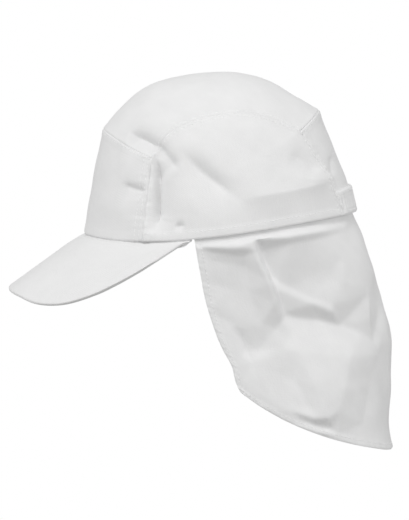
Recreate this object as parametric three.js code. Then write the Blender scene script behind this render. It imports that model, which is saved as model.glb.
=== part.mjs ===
// A white cotton legionnaire cap: a five-panel crown, a curved peak, a gathered band across the back
// and a flap that hangs from the rim over the neck.
//
// Frame, in millimetres: the origin is the centre of the head opening in the plane of the rim,
// +X is the wearer's left, -Y is forwards, to the peak, and +Z is up through the crown.

import * as THREE from "three";
import { mergeVertices } from "three/addons/utils/BufferGeometryUtils.js";

// Driving dimensions: the crown
const crownHeight = 109.8; // rim plane to the top of the crown
const frontReach = 101.8; // origin to the front of the rim
const backReach = 98.5; // origin to the back of the rim
const halfWidth = 83; // origin to the side of the rim
const rimDip = 5; // how far the rim sinks at the sides, behind the ends of the peak
const panelWall = 1.6; // two plies of drill with the seam allowance between them
const seamGap = 0.3; // clearance that parts two pieces that are sewn together

// Driving dimensions: the peak
const peakLength = 70; // along its centre line, from the crown to the tip
const peakSlope = 31.5; // degrees that the centre line falls
const peakHalfWidth = 80.5;
const peakThickness = 3.2; // board between two covers
const peakSwell = 1.3; // how far the top cover swells up in front of the seam
const peakEndAngle = 77; // degrees round the rim from the front to an end of the peak
const peakShoulder = 50; // origin to the widest line of the peak, forwards
const peakSquareness = 2.3; // 2 is an ellipse, and more is squarer

// Driving dimensions: the band across the back
const bandHeight = 21.5;
const bandThickness = 2.6; // elastic in its casing
const bandGather = 0.55; // depth of the ribs between two gathers
const bandGathers = 13; // ribs along the band

// Driving dimensions: the neck flap
const flapLength = 179.6; // rim plane to the hem, at the back
const flapSideLength = 116.8; // rim plane to the corner of the hem, at the sides
const flapFlare = 22.4; // how far the flap stands out behind the rim
const flapWall = 1.2;
const flapTuck = 6.5; // how far its top edge goes up inside the rim
const flapEndAngle = 78; // degrees round the rim from the front to the front edge of the flap

// Driving dimensions: creases
const crownCrease = 2.4; // depth of the deepest crease in the crown
const flapCrease = 8; // depth of the deepest fold in the flap
const foldRound = 1.6; // how close to a crease the cloth begins to turn
const foldFreeShare = 0.03; // of the flap's length below the rim, over which its folds begin

// The cloth: white cotton drill
const clothWhite = 0xe9e9e8;
const clothRoughness = 0.9;

// How finely each piece is divided
const stepsUp = 11; // rim to the top seams
const stepsAcross = 14; // from one side seam to the other
const stepsArch = 22; // along a side panel
const bandStepsUp = 3;
const peakStepsAcross = 28;
const peakStepsOut = 8;
const flapStepsRound = 50;
const flapStepsDown = 23;

const { PI, sin, cos, tan, atan2, hypot, abs, min, max, exp } = Math;
const radians = (degrees) => (degrees * PI) / 180;
const mix = (a, b, t) => a + (b - a) * t;
const ease = (t) => {
  const x = min(1, max(0, t));
  return x * x * (3 - 2 * x);
};

// The crown as seen from above is a disc. Its level is 0 at the top and 1 at the rim, and each row is
// a section at one level: its reach as a share of the rim's, and its height as a share of the crown's.
const crownSections = [
  { level: 0, front: 0, frontUp: 1, side: 0, sideUp: 1, back: 0, backUp: 1 },
  { level: 0.14, front: 0.225, frontUp: 0.992, side: 0.325, sideUp: 0.94, back: 0.218, backUp: 0.984 },
  { level: 0.28, front: 0.43, frontUp: 0.953, side: 0.596, sideUp: 0.798, back: 0.428, backUp: 0.918 },
  { level: 0.42, front: 0.622, frontUp: 0.853, side: 0.807, sideUp: 0.612, back: 0.622, backUp: 0.801 },
  { level: 0.555, front: 0.803, frontUp: 0.685, side: 0.924, sideUp: 0.391, back: 0.788, backUp: 0.694 },
  { level: 0.7, front: 0.886, frontUp: 0.433, side: 0.967, sideUp: 0.254, back: 0.88, backUp: 0.434 },
  { level: 0.85, front: 0.95, frontUp: 0.214, side: 0.992, sideUp: 0.11, back: 0.96, backUp: 0.216 },
  { level: 1, front: 1, frontUp: 0, side: 1, sideUp: 0, back: 1, backUp: 0 },
];
const seamRow = 4; // the row where the top panel meets the front and back panels at an angle
const seamLevel = crownSections[seamRow].level;

// The seam round a side panel, as points of the disc: ear is towards the side and back is backwards.
const frontSeamAngle = 56; // degrees round the rim, where the seam starts
const backSeamAngle = 150; // degrees round the rim, where it ends
const frontCorner = { ear: 0.453, back: -0.3206 };
const backCorner = { ear: 0.352, back: 0.43 };
const archSeam = [
  frontCorner,
  { ear: 0.408, back: -0.256 },
  { ear: 0.378, back: -0.163 },
  { ear: 0.356, back: -0.045 },
  { ear: 0.342, back: 0.085 },
  { ear: 0.338, back: 0.205 },
  { ear: 0.343, back: 0.325 },
  backCorner,
];

// Creases on the wearer's left of the crown, then on the right, as lines in the side view. Places are
// shares of frontReach backwards and of crownHeight upwards. Rise is a share of crownCrease, outwards
// if positive. The widths are shares of crownHeight, above and below the line.
const leftCreases = [
  { y0: -0.41, z0: 0.58, y1: -0.27, z1: 0.38, rise: -0.7, above: 0.045, below: 0.05 },
  { y0: -0.22, z0: 0.5, y1: 0.17, z1: 0.13, rise: -1, above: 0.05, below: 0.09 },
  { y0: 0.12, z0: 0.2, y1: 0.84, z1: 0.24, rise: 0.75, above: 0.13, below: 0.05 },
  { y0: -0.42, z0: 0.44, y1: -0.42, z1: 0.12, rise: -0.7, above: 0.05, below: 0.03 },
  { y0: -0.7, z0: 0.33, y1: -0.52, z1: 0.28, rise: -0.6, above: 0.04, below: 0.08 },
  { y0: -0.62, z0: 0.68, y1: -0.4, z1: 0.55, rise: -0.8, above: 0.05, below: 0.05 },
  { y0: 0.5, z0: 0.46, y1: 0.72, z1: 0.27, rise: -0.45, above: 0.06, below: 0.08 },
];
const rightCreases = [
  { y0: -0.36, z0: 0.5, y1: 0.05, z1: 0.2, rise: -0.8, above: 0.06, below: 0.09 },
  { y0: 0.1, z0: 0.3, y1: 0.7, z1: 0.2, rise: 0.6, above: 0.12, below: 0.06 },
  { y0: -0.6, z0: 0.66, y1: -0.4, z1: 0.52, rise: -0.6, above: 0.05, below: 0.05 },
  { y0: 0.3, z0: 0.6, y1: 0.6, z1: 0.4, rise: -0.5, above: 0.06, below: 0.08 },
];

// How steeply the peak falls, from its middle to its side, as a share of the slope in the middle.
const peakFall = [
  { side: 0, slope: 1 },
  { side: 0.47, slope: 0.99 },
  { side: 0.66, slope: 1.07 },
  { side: 0.78, slope: 1.1 },
  { side: 0.86, slope: 1.095 },
  { side: 0.94, slope: 1.03 },
  { side: 0.975, slope: 0.96 },
  { side: 1, slope: 0.89 },
];

// The flap's back edge and front edge as seen from the side. Down is a share of the edge's length
// below the rim. Out is a share of flapFlare that the back edge stands behind the rim. Run is a share
// of backReach that the front edge slants backwards, and in is the share that it draws in sideways.
const flapBack = [
  { down: 0, out: 0 },
  { down: 0.09, out: 0.26 },
  { down: 0.18, out: 0.46 },
  { down: 0.35, out: 0.72 },
  { down: 0.5, out: 0.93 },
  { down: 0.56, out: 1 },
  { down: 0.63, out: 0.94 },
  { down: 0.77, out: 0.82 },
  { down: 0.88, out: 0.77 },
  { down: 1, out: 0.8 },
];
const flapFront = [
  { down: 0, run: 0, in: 0 },
  { down: 0.19, run: 0.02, in: 0.01 },
  { down: 0.4, run: 0.045, in: 0.03 },
  { down: 0.61, run: 0.098, in: 0.055 },
  { down: 0.72, run: 0.141, in: 0.07 },
  { down: 0.83, run: 0.196, in: 0.085 },
  { down: 0.93, run: 0.215, in: 0.1 },
  { down: 1, run: 0.243, in: 0.105 },
];

// The flap's hem from the middle of the back to its front corner. Side is a share of halfWidth, run a
// share of the back edge's reach, and down the share of the way from flapSideLength to flapLength.
const flapHem = [
  { round: 0, side: 0, run: 1, down: 1 },
  { round: 0.15, side: 0.26, run: 0.965, down: 0.955 },
  { round: 0.3, side: 0.5, run: 0.865, down: 0.865 },
  { round: 0.45, side: 0.675, run: 0.71, down: 0.75 },
  { round: 0.6, side: 0.785, run: 0.52, down: 0.6 },
  { round: 0.75, side: 0.84, run: 0.315, down: 0.4 },
  { round: 0.88, side: 0.856, run: 0.145, down: 0.19 },
  { round: 1, side: 0.855, run: 0.027, down: 0 },
];

// Folds in the flap. The cloth was pressed flat and then hung, so it falls into nearly flat fields that
// meet in creases. Each row is a straight line in the side view, with the height of the cloth at both
// its ends. Places are shares of backReach backwards and of flapLength upwards, and rise is a share of
// flapCrease, outwards if positive.
const flapEdges = [
  // The rim
  { y0: -0.21, z0: -0.03, rise0: 0, y1: 1.06, z1: -0.01, rise1: 0 },
  // The front edge
  { y0: -0.2, z0: -0.07, rise0: 0, y1: -0.14, z1: -0.33, rise1: 0 },
  { y0: -0.14, z0: -0.33, rise0: 0, y1: 0.03, z1: -0.65, rise1: 0 },
  // The hem
  { y0: 0.03, z0: -0.65, rise0: 0, y1: 0.61, z1: -0.86, rise1: 0 },
  { y0: 0.61, z0: -0.86, rise0: 0, y1: 1.14, z1: -1, rise1: 0 },
  // The back
  { y0: 1.06, z0: -0.01, rise0: 0, y1: 1.22, z1: -0.5, rise1: 0 },
  { y0: 1.22, z0: -0.5, rise0: 0, y1: 1.16, z1: -1, rise1: 0 },
];
const leftFolds = [
  // The strip along the rim
  { y0: -0.18, z0: -0.06, rise0: 0.17, y1: 0.15, z1: -0.08, rise1: 0.53 },
  { y0: 0.23, z0: -0.05, rise0: 0.55, y1: 0.89, z1: -0.04, rise1: 0.23 },
  // The hollows under it
  { y0: -0.12, z0: -0.13, rise0: -0.2, y1: 0.13, z1: -0.16, rise1: -0.42 },
  { y0: -0.1, z0: -0.22, rise0: -0.3, y1: 0.15, z1: -0.26, rise1: -0.42 },
  // The long ridge, and the channel behind it
  { y0: 0.2, z0: -0.06, rise0: 0.53, y1: 0.34, z1: -0.3, rise1: 0.55 },
  { y0: 0.26, z0: -0.09, rise0: -0.42, y1: 0.34, z1: -0.23, rise1: -0.85 },
  { y0: 0.36, z0: -0.27, rise0: -0.38, y1: 0.41, z1: -0.37, rise1: -0.85 },
  // The second ridge, with the hollow above it
  { y0: 0.38, z0: -0.23, rise0: -0.75, y1: 0.71, z1: -0.33, rise1: -0.17 },
  { y0: 0.37, z0: -0.25, rise0: -0.38, y1: 0.71, z1: -0.36, rise1: 0.05 },
  // The great crease across the flap
  { y0: 0.41, z0: -0.37, rise0: -0.95, y1: 0.7, z1: -0.4, rise1: -1 },
  { y0: 0.7, z0: -0.4, rise0: -1, y1: 1.01, z1: -0.48, rise1: -0.25 },
  // The crease to the front edge, and the dent over it
  { y0: 0.37, z0: -0.38, rise0: -0.25, y1: 0.15, z1: -0.52, rise1: -0.69 },
  { y0: 0.41, z0: -0.45, rise0: -0.38, y1: 0.15, z1: -0.58, rise1: 0.12 },
  { y0: 0.03, z0: -0.4, rise0: -0.38, y1: 0.09, z1: -0.5, rise1: -0.65 },
  // The two sides of the broad field below
  { y0: 0.45, z0: -0.44, rise0: -0.55, y1: 0.65, z1: -0.79, rise1: 0.75 },
  { y0: 0.9, z0: -0.48, rise0: -0.3, y1: 0.68, z1: -0.78, rise1: 0.75 },
  { y0: 0.93, z0: -0.56, rise0: -0.25, y1: 0.85, z1: -0.81, rise1: -0.12 },
  // The turn above the hem
  { y0: 0.06, z0: -0.6, rise0: 0.1, y1: 0.57, z1: -0.79, rise1: 0.68 },
  // The hollow at the back
  { y0: 1.07, z0: -0.55, rise0: -0.12, y1: 1.01, z1: -0.82, rise1: -0.25 },
];
const rightFolds = [
  // The strip along the rim
  { y0: -0.16, z0: -0.06, rise0: 0.17, y1: 0.87, z1: -0.04, rise1: 0.2 },
  // The hollow under it
  { y0: -0.08, z0: -0.12, rise0: -0.2, y1: 0.79, z1: -0.11, rise1: -0.2 },
  // The long ridge, and the channel behind it
  { y0: 0.24, z0: -0.14, rise0: 0.3, y1: 0.35, z1: -0.41, rise1: 0.45 },
  { y0: 0.31, z0: -0.16, rise0: -0.33, y1: 0.42, z1: -0.46, rise1: -0.5 },
  // The great crease across the flap
  { y0: 0.42, z0: -0.47, rise0: -0.55, y1: 0.85, z1: -0.43, rise1: -0.5 },
  // The broad field below
  { y0: 0.49, z0: -0.58, rise0: 0.07, y1: 0.63, z1: -0.78, rise1: 0.5 },
  { y0: 0.93, z0: -0.55, rise0: 0.15, y1: 0.73, z1: -0.78, rise1: 0.38 },
  // The crease to the front edge
  { y0: 0.35, z0: -0.5, rise0: -0.12, y1: 0.12, z1: -0.57, rise1: -0.42 },
];

// A smooth curve through one column of a table against another. It is level at its start if `level`
// is true, and has an angle at the row `sharp` if one is given.
function curveThrough(rows, levelKey, key, at, { level = false, sharp = -1 } = {}) {
  const x = rows.map((row) => row[levelKey]);
  const y = rows.map((row) => row[key]);
  const last = rows.length - 1;
  let i = 0;
  while (i < last - 1 && at > x[i + 1]) i += 1;
  const slope = (a, b) => (y[b] - y[a]) / (x[b] - x[a]);
  const tangent = (j, before) => {
    if (j === 0 && level) return 0;
    if (j === 0 || j === last || j === sharp) return before ? slope(j - 1, j) : slope(j, j + 1);
    return slope(j - 1, j + 1);
  };
  const step = x[i + 1] - x[i];
  const t = min(1, max(0, (at - x[i]) / step));
  const startTangent = tangent(i, false);
  const endTangent = tangent(i + 1, true);
  return (
    (2 * t ** 3 - 3 * t ** 2 + 1) * y[i] +
    (t ** 3 - 2 * t ** 2 + t) * step * startTangent +
    (3 * t ** 2 - 2 * t ** 3) * y[i + 1] +
    (t ** 3 - t ** 2) * step * endTangent
  );
}

// Height of the crown's creases in one table at a place in the side view.
function creaseHeight(rows, y, z) {
  let height = 0;
  for (const row of rows) {
    const start = new THREE.Vector2(row.y0 * frontReach, row.z0 * crownHeight);
    const end = new THREE.Vector2(row.y1 * frontReach, row.z1 * crownHeight);
    const line = end.clone().sub(start);
    const offset = new THREE.Vector2(y, z).sub(start);
    const share = offset.dot(line) / line.lengthSq();
    const across = line.cross(offset) / line.length();
    const width = (across > 0 ? row.above : row.below) * crownHeight;
    const past = max(0, -share, share - 1) * line.length();
    height += row.rise * crownCrease * exp(-(abs(across / width) ** 1.5) - (past / width) ** 2);
  }
  return height;
}

// Height of the fields between folds: the mean of all the lines' heights, where near lines count most.
function foldHeight(rows, y, z) {
  let sum = 0;
  let weights = 0;
  for (const row of rows) {
    const start = new THREE.Vector2(row.y0 * backReach, row.z0 * flapLength);
    const end = new THREE.Vector2(row.y1 * backReach, row.z1 * flapLength);
    const line = end.clone().sub(start);
    const offset = new THREE.Vector2(y, z).sub(start);
    const share = min(1, max(0, offset.dot(line) / line.lengthSq()));
    const distance = offset.addScaledVector(line, -share).length();
    const weight = 1 / (distance ** 2 + foldRound ** 2) ** 1.5;
    sum += mix(row.rise0, row.rise1, share) * flapCrease * weight;
    weights += weight;
  }
  return sum / weights;
}

const creasesOf = (rows) => (point) => creaseHeight(rows, point.y, point.z);
const foldsOf = (rows) => (point) => foldHeight([...flapEdges, ...rows], point.y, point.z);

// Heights of the left side fade into those of the right side across the middle of the cap.
function acrossMiddle(point, left, right) {
  const fadeWidth = halfWidth / 3;
  return ease(point.x / fadeWidth) * left(point) + ease(-point.x / fadeWidth) * right(point);
}

// A point of the crown without its creases, from a point of the disc.
function smoothCrown(ear, back) {
  const level = hypot(ear, back);
  if (level < 1e-9) return new THREE.Vector3(0, 0, crownHeight);
  const toSide = ear / level;
  const toFront = -back / level;
  const column = (key) => {
    const sharp = key.startsWith("side") ? -1 : seamRow;
    return curveThrough(crownSections, "level", key, level, { level: key.endsWith("Up"), sharp });
  };
  const isFront = toFront >= 0;
  const reach = isFront ? frontReach * column("front") : backReach * column("back");
  const middleUp = column(isFront ? "frontUp" : "backUp");
  const up = middleUp * toFront ** 2 + column("sideUp") * toSide ** 2;
  const dip = rimDip * toSide ** 2 * (1 + toFront) * ease((level - 0.4) / 0.6);
  return new THREE.Vector3(halfWidth * column("side") * toSide, -reach * toFront, up * crownHeight - dip);
}

// The outward normal of a surface at a place of its grid, from the places beside it.
function normalAt(surface, u, v) {
  const nudge = 1e-3;
  const low = (x) => max(0, x - nudge);
  const high = (x) => min(1, x + nudge);
  const alongU = surface(high(u), v).sub(surface(low(u), v));
  const alongV = surface(u, high(v)).sub(surface(u, low(v)));
  return alongU.cross(alongV).normalize();
}

// A point of the crown with its creases, and its outward normal. The normal turns gradually where two
// panels meet at an angle, so that their inner faces meet too.
function crownPoint(ear, back) {
  const nudge = 0.02;
  const base = smoothCrown(ear, back);
  const alongEar = smoothCrown(ear + nudge, back).sub(smoothCrown(ear - nudge, back));
  const alongBack = smoothCrown(ear, back + nudge).sub(smoothCrown(ear, back - nudge));
  const normal = alongEar.cross(alongBack).normalize();
  const rise = acrossMiddle(base, creasesOf(leftCreases), creasesOf(rightCreases));
  return { point: base.addScaledVector(normal, rise), normal };
}

// A closed wall over a grid: `outer` and `inner` give a point for each place (u, v) from 0 to 1.
function wallBetween(outer, inner, stepsU, stepsV) {
  const positions = [];
  const indices = [];
  const columns = stepsV + 1;
  for (const surface of [outer, inner])
    for (let i = 0; i <= stepsU; i += 1)
      for (let j = 0; j <= stepsV; j += 1) positions.push(...surface(i / stepsU, j / stepsV).toArray());
  const innerStart = (stepsU + 1) * columns;
  const at = (i, j) => i * columns + j;
  const quad = (a, b, c, d) => indices.push(a, b, c, a, c, d);
  for (let i = 0; i < stepsU; i += 1)
    for (let j = 0; j < stepsV; j += 1) {
      const corners = [at(i, j), at(i + 1, j), at(i + 1, j + 1), at(i, j + 1)];
      quad(...corners);
      quad(...corners.reverse().map((n) => n + innerStart));
    }
  const rim = [];
  for (let i = 0; i < stepsU; i += 1) rim.push(at(i, 0));
  for (let j = 0; j < stepsV; j += 1) rim.push(at(stepsU, j));
  for (let i = stepsU; i > 0; i -= 1) rim.push(at(i, stepsV));
  for (let j = stepsV; j > 0; j -= 1) rim.push(at(0, j));
  rim.forEach((a, k) => {
    const b = rim[(k + 1) % rim.length];
    quad(b, a, a + innerStart, b + innerStart);
  });
  const geometry = new THREE.BufferGeometry();
  geometry.setAttribute("position", new THREE.Float32BufferAttribute(positions, 3));
  geometry.setIndex(indices);
  return mergeVertices(geometry);
}

function clothMesh(name, geometry) {
  const finish = { color: clothWhite, roughness: clothRoughness, metalness: 0 };
  const material = new THREE.MeshStandardMaterial(finish);
  const mesh = new THREE.Mesh(geometry, material);
  mesh.name = name;
  return mesh;
}

// Four curves of the disc round a panel. Across runs from the wearer's right to the left.
const onRim = (degrees) => new THREE.Vector2(sin(radians(degrees)), -cos(radians(degrees)));
const onDisc = ({ ear, back }, side = 1) => new THREE.Vector2(side * ear, back);
const straight = (a, b) => (t) => a.clone().lerp(b, t);
const arch = new THREE.SplineCurve(archSeam.map((p) => onDisc(p)));

function rimArc(fromDegrees, toDegrees) {
  return (t) => onRim(mix(fromDegrees, toDegrees, t));
}

// The seam between the top panel and the front or back panel keeps close to one level.
function crossSeam(corner, middleAngle) {
  const cornerAngle = atan2(corner.ear, -corner.back);
  const half = cornerAngle - middleAngle;
  const cornerLevel = hypot(corner.ear, corner.back);
  return (t) => {
    const share = 2 * t - 1;
    const level = mix(seamLevel, cornerLevel, share ** 2);
    const angle = middleAngle + half * share;
    return new THREE.Vector2(level * sin(angle), -level * cos(angle));
  };
}

// The disc inside four curves: bottom and top run along u, and start and end run along v.
function insideCurves(bottom, top, start, end) {
  return (u, v) => {
    const across = bottom(u).lerp(top(u), v);
    const corners = bottom(0).lerp(top(0), v).lerp(bottom(1).lerp(top(1), v), u);
    return start(v).lerp(end(v), u).add(across).sub(corners);
  };
}

// The length of a line on the crown, from a place of the disc for each share of the line.
function lengthOnCrown(line) {
  const steps = 10;
  let length = 0;
  for (let i = 0; i < steps; i += 1) {
    const [from, to] = [line(i / steps), line((i + 1) / steps)];
    length += smoothCrown(from.x, from.y).distanceTo(smoothCrown(to.x, to.y));
  }
  return length;
}

// A crown panel: a wall on the crown's surface, half a seam gap inside its four curves.
function panel(name, disc, stepsU, stepsV) {
  const insetU = seamGap / 2 / lengthOnCrown((t) => disc(t, 0.5));
  const insetV = seamGap / 2 / lengthOnCrown((t) => disc(0.5, t));
  const place = (u, v) => disc(mix(insetU, 1 - insetU, u), mix(insetV, 1 - insetV, v));
  const surface = (depth) => (u, v) => {
    const at = place(u, v);
    const { point, normal } = crownPoint(at.x, at.y);
    return point.addScaledVector(normal, -depth);
  };
  return clothMesh(name, wallBetween(surface(0), surface(panelWall), stepsU, stepsV));
}

function sidePanel(name, side) {
  const rimFrom = side * frontSeamAngle;
  const rimTo = side * backSeamAngle;
  const mirrored = (t) => arch.getPoint(t).multiply(new THREE.Vector2(side, 1));
  const left = insideCurves(
    rimArc(rimFrom, rimTo),
    mirrored,
    straight(onRim(rimFrom), onDisc(frontCorner, side)),
    straight(onRim(rimTo), onDisc(backCorner, side)),
  );
  const disc = side > 0 ? left : (u, v) => left(1 - u, v);
  return panel(name, disc, stepsArch, stepsUp);
}

// The disc's part that a front or back panel covers. Its grid turns over at the back, where going from
// the wearer's right to the left would face the panel inwards.
function endPlan(rimAngle, corner, middleAngle) {
  const isBack = middleAngle > 0;
  const from = isBack ? 360 - rimAngle : -rimAngle;
  const plan = insideCurves(
    rimArc(from, rimAngle),
    crossSeam(corner, middleAngle),
    straight(onRim(from), onDisc(corner, -1)),
    straight(onRim(rimAngle), onDisc(corner)),
  );
  return isBack ? (u, v) => plan(1 - u, v) : plan;
}

const frontPlan = endPlan(frontSeamAngle, frontCorner, 0);
const backPlan = endPlan(backSeamAngle, backCorner, PI);

function topPanel() {
  const front = crossSeam(frontCorner, 0);
  const back = crossSeam(backCorner, PI);
  const disc = insideCurves(
    front,
    back,
    (t) => arch.getPoint(t).multiply(new THREE.Vector2(-1, 1)),
    (t) => arch.getPoint(t),
  );
  return panel("top_panel", disc, stepsAcross, stepsArch);
}

// The band lies on the back panel, from one side seam to the other, with ribs where it is gathered.
function backBand() {
  const share = bandHeight / crownHeight / crownSections[seamRow].backUp;
  const ends = seamGap / lengthOnCrown((t) => backPlan(t, 0));
  const surface = (depth, gathered) => (u, v) => {
    const at = backPlan(mix(ends, 1 - ends, u), mix(ends, share, v));
    const { point, normal } = crownPoint(at.x, at.y);
    const rib = gathered ? bandGather * sin(PI * bandGathers * u) ** 2 * sin(PI * v) : 0;
    return point.addScaledVector(normal, depth - rib);
  };
  const outer = surface(seamGap + bandThickness, true);
  const inner = surface(seamGap, false);
  return clothMesh("back_band", wallBetween(outer, inner, 2 * bandGathers, bandStepsUp));
}

// The peak falls forwards from the rim, in lines that are almost straight. Its back edge is a flat lip that
// is sewn under the crown's wall.
function peak() {
  const tip = frontReach + peakLength * cos(radians(peakSlope));
  const endX = halfWidth * sin(radians(peakEndAngle));
  const lipRow = 1 / peakStepsOut;
  const outline = (x) => {
    const rest = 1 - min(1, abs(x) / peakHalfWidth) ** peakSquareness;
    return -peakShoulder - (tip - peakShoulder) * rest ** (1 / peakSquareness);
  };
  const top = (u, v) => {
    const angle = radians(peakEndAngle) * (2 * u - 1);
    const rim = smoothCrown(sin(angle), -cos(angle));
    const x = rim.x;
    const seam = rim.z - seamGap;
    if (v < lipRow) {
      const lip = panelWall * (1 - v / lipRow);
      return new THREE.Vector3(x - lip * sin(angle), rim.y + lip * cos(angle), seam);
    }
    const run = (v - lipRow) / (1 - lipRow);
    const away = (rim.y - outline(x)) * run;
    const fall = tan(radians(peakSlope)) * curveThrough(peakFall, "side", "slope", abs(x) / endX);
    return new THREE.Vector3(x, rim.y - away, seam + peakSwell * ease(4 * run) - fall * away);
  };
  const bottom = (u, v) => {
    const falling = normalAt(top, u, max(v, 1.5 * lipRow)); // the lip is as thick as the peak beside it
    return top(u, v).addScaledVector(falling, peakThickness);
  };
  return clothMesh("peak", wallBetween(bottom, top, peakStepsAcross, peakStepsOut));
}

// A place on the inside of the crown, at an angle round the rim from the front and a level of the disc.
function insideCrown(angle, level, depth) {
  const { point, normal } = crownPoint(level * sin(angle), -level * cos(angle));
  return point.addScaledVector(normal, -depth);
}

// The flap below the rim. Round is -1 and 1 at its front edges and 0 at the middle of the back, and
// down is 0 at the rim and 1 at the hem.
const flapAngle = (round) => radians(mix(180, flapEndAngle, abs(round)));
const flapInset = panelWall + seamGap;

function flapPoint(round, down) {
  const away = abs(round);
  const topAt = (share) => insideCrown(flapAngle(share), 1, flapInset);
  const topBack = topAt(0);
  const topFront = topAt(1);
  const hemBack = topBack.y + flapFlare * flapBack[flapBack.length - 1].out;
  const hemAt = (share) => {
    const column = (key) => curveThrough(flapHem, "round", key, share);
    const fall = mix(flapSideLength, flapLength, column("down"));
    return new THREE.Vector3(column("side") * halfWidth, column("run") * hemBack, -fall);
  };
  const backEdge = new THREE.Vector3(
    0,
    topBack.y + flapFlare * curveThrough(flapBack, "down", "out", down),
    mix(topBack.z, -flapLength, down),
  );
  const frontEdge = new THREE.Vector3(
    topFront.x * (1 - curveThrough(flapFront, "down", "in", down)),
    topFront.y + backReach * curveThrough(flapFront, "down", "run", down),
    mix(topFront.z, -flapSideLength, down),
  );
  const backFix = backEdge.sub(topBack.clone().lerp(hemAt(0), down));
  const frontFix = frontEdge.sub(topFront.clone().lerp(hemAt(1), down));
  const point = topAt(away).lerp(hemAt(away), down);
  point.addScaledVector(backFix, 1 - ease(away)).addScaledVector(frontFix, ease(away));
  point.x *= round < 0 ? -1 : 1;
  return point;
}

// The flap's top edge is sewn inside the rim, and the rest hangs free and falls into folds.
function neckFlap() {
  const section = crownSections[crownSections.length - 2];
  const tuckLevel = 1 - ((1 - section.level) * flapTuck) / (section.backUp * crownHeight);
  const tuckShare = 1 / flapStepsDown;
  const hanging = (u, v) => flapPoint(2 * u - 1, v);
  const surface = (depth) => (u, v) => {
    if (v <= tuckShare) {
      const round = 2 * u - 1;
      const angle = round < 0 ? -flapAngle(round) : flapAngle(round);
      return insideCrown(angle, mix(tuckLevel, 1, v / tuckShare), flapInset + depth);
    }
    const down = (v - tuckShare) / (1 - tuckShare);
    const base = hanging(u, down);
    const free = ease(down / foldFreeShare);
    const rise = acrossMiddle(base, foldsOf(leftFolds), foldsOf(rightFolds)) * free;
    return base.addScaledVector(normalAt(hanging, u, down), rise - depth);
  };
  const geometry = wallBetween(surface(0), surface(flapWall), flapStepsRound, flapStepsDown);
  return clothMesh("neck_flap", geometry);
}

const cap = new THREE.Group();
cap.add(
  panel("front_panel", frontPlan, stepsAcross, stepsUp),
  topPanel(),
  panel("back_panel", backPlan, stepsAcross, stepsUp),
  sidePanel("side_panel_left", 1),
  sidePanel("side_panel_right", -1),
  backBand(),
  peak(),
  neckFlap(),
);

export default cap;
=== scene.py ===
# %% [markdown]
# A white cotton legionnaire cap: a soft crown of five panels, a curved peak, a gathered band at the back
# and a flap that hangs over the neck. Its charm is in small things: twin rows of stitching, seams that
# stand up and pucker, and the sharp creases of cotton that was folded flat in a bag.
#
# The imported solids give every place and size. They are plain, so each cloth piece is made again here on
# the same surface, as a fine grid, and its seams and creases are laid on that grid in millimetres.

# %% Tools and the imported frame
import math
from dataclasses import dataclass

import bpy
import numpy as np
from mathutils import Matrix, Vector
from mathutils.geometry import delaunay_2d_cdt


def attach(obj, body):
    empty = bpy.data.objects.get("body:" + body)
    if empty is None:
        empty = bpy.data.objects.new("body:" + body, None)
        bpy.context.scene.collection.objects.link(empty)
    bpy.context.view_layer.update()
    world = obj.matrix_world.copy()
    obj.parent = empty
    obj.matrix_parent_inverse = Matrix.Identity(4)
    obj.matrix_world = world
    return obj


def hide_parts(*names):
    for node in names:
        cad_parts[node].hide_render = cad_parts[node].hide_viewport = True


MM = 0.001

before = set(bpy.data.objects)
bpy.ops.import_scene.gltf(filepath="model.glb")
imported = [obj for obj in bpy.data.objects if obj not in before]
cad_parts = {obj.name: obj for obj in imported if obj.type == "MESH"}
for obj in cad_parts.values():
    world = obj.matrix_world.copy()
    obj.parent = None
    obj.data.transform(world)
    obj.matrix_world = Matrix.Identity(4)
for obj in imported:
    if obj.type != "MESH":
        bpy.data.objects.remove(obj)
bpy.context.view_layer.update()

# %% [markdown]
# The camera looks at the wearer's left side from a little above the rim. A long lens from more than a
# metre away keeps the far side of the cap almost as large as the near side, as in a catalogue picture.
# The picture is turned a few degrees, because the cap was, so the camera's own axes are built first.

# %% Camera
CAMERA_ELEVATION = math.radians(5)
CAMERA_TURN = math.radians(4.5333)  # the cap stands this much askew in its picture
CAMERA_DISTANCE = 1.2877
CAMERA_TARGET = Vector((0, -0.0149, -0.0278))
CAMERA_LENS = 120


def add_object(name, data):
    """An object that shows this mesh, lamp or camera in the scene."""
    added = bpy.data.objects.new(name, data)
    bpy.context.scene.collection.objects.link(added)
    return added


def make_camera():
    back = Vector((math.cos(CAMERA_ELEVATION), 0, math.sin(CAMERA_ELEVATION)))
    level_right = Vector((0, 1, 0))
    level_up = back.cross(level_right)
    turn = Matrix.Rotation(-CAMERA_TURN, 3, back)
    right, up = turn @ level_right, turn @ level_up
    camera = add_object("camera", bpy.data.cameras.new("camera"))
    camera.data.lens = CAMERA_LENS
    axes = Matrix((right, up, back)).transposed()
    camera.matrix_world = Matrix.Translation(CAMERA_TARGET + back * CAMERA_DISTANCE) @ axes.to_4x4()
    bpy.context.scene.camera = camera
    return camera


camera = make_camera()
print("camera at", [round(x, 3) for x in camera.location])

# %% [markdown]
# White cloth on white is a lighting problem: with light from everywhere, folds vanish. A white world
# gives the clean background and soft light, a pale floor well below the cap sends back less of it, so
# that faces that look down turn grey. A broad lamp above the cap gives the folds a lit side, and two
# weak ones lift the cloth that curves away to the front and to the back.

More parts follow.
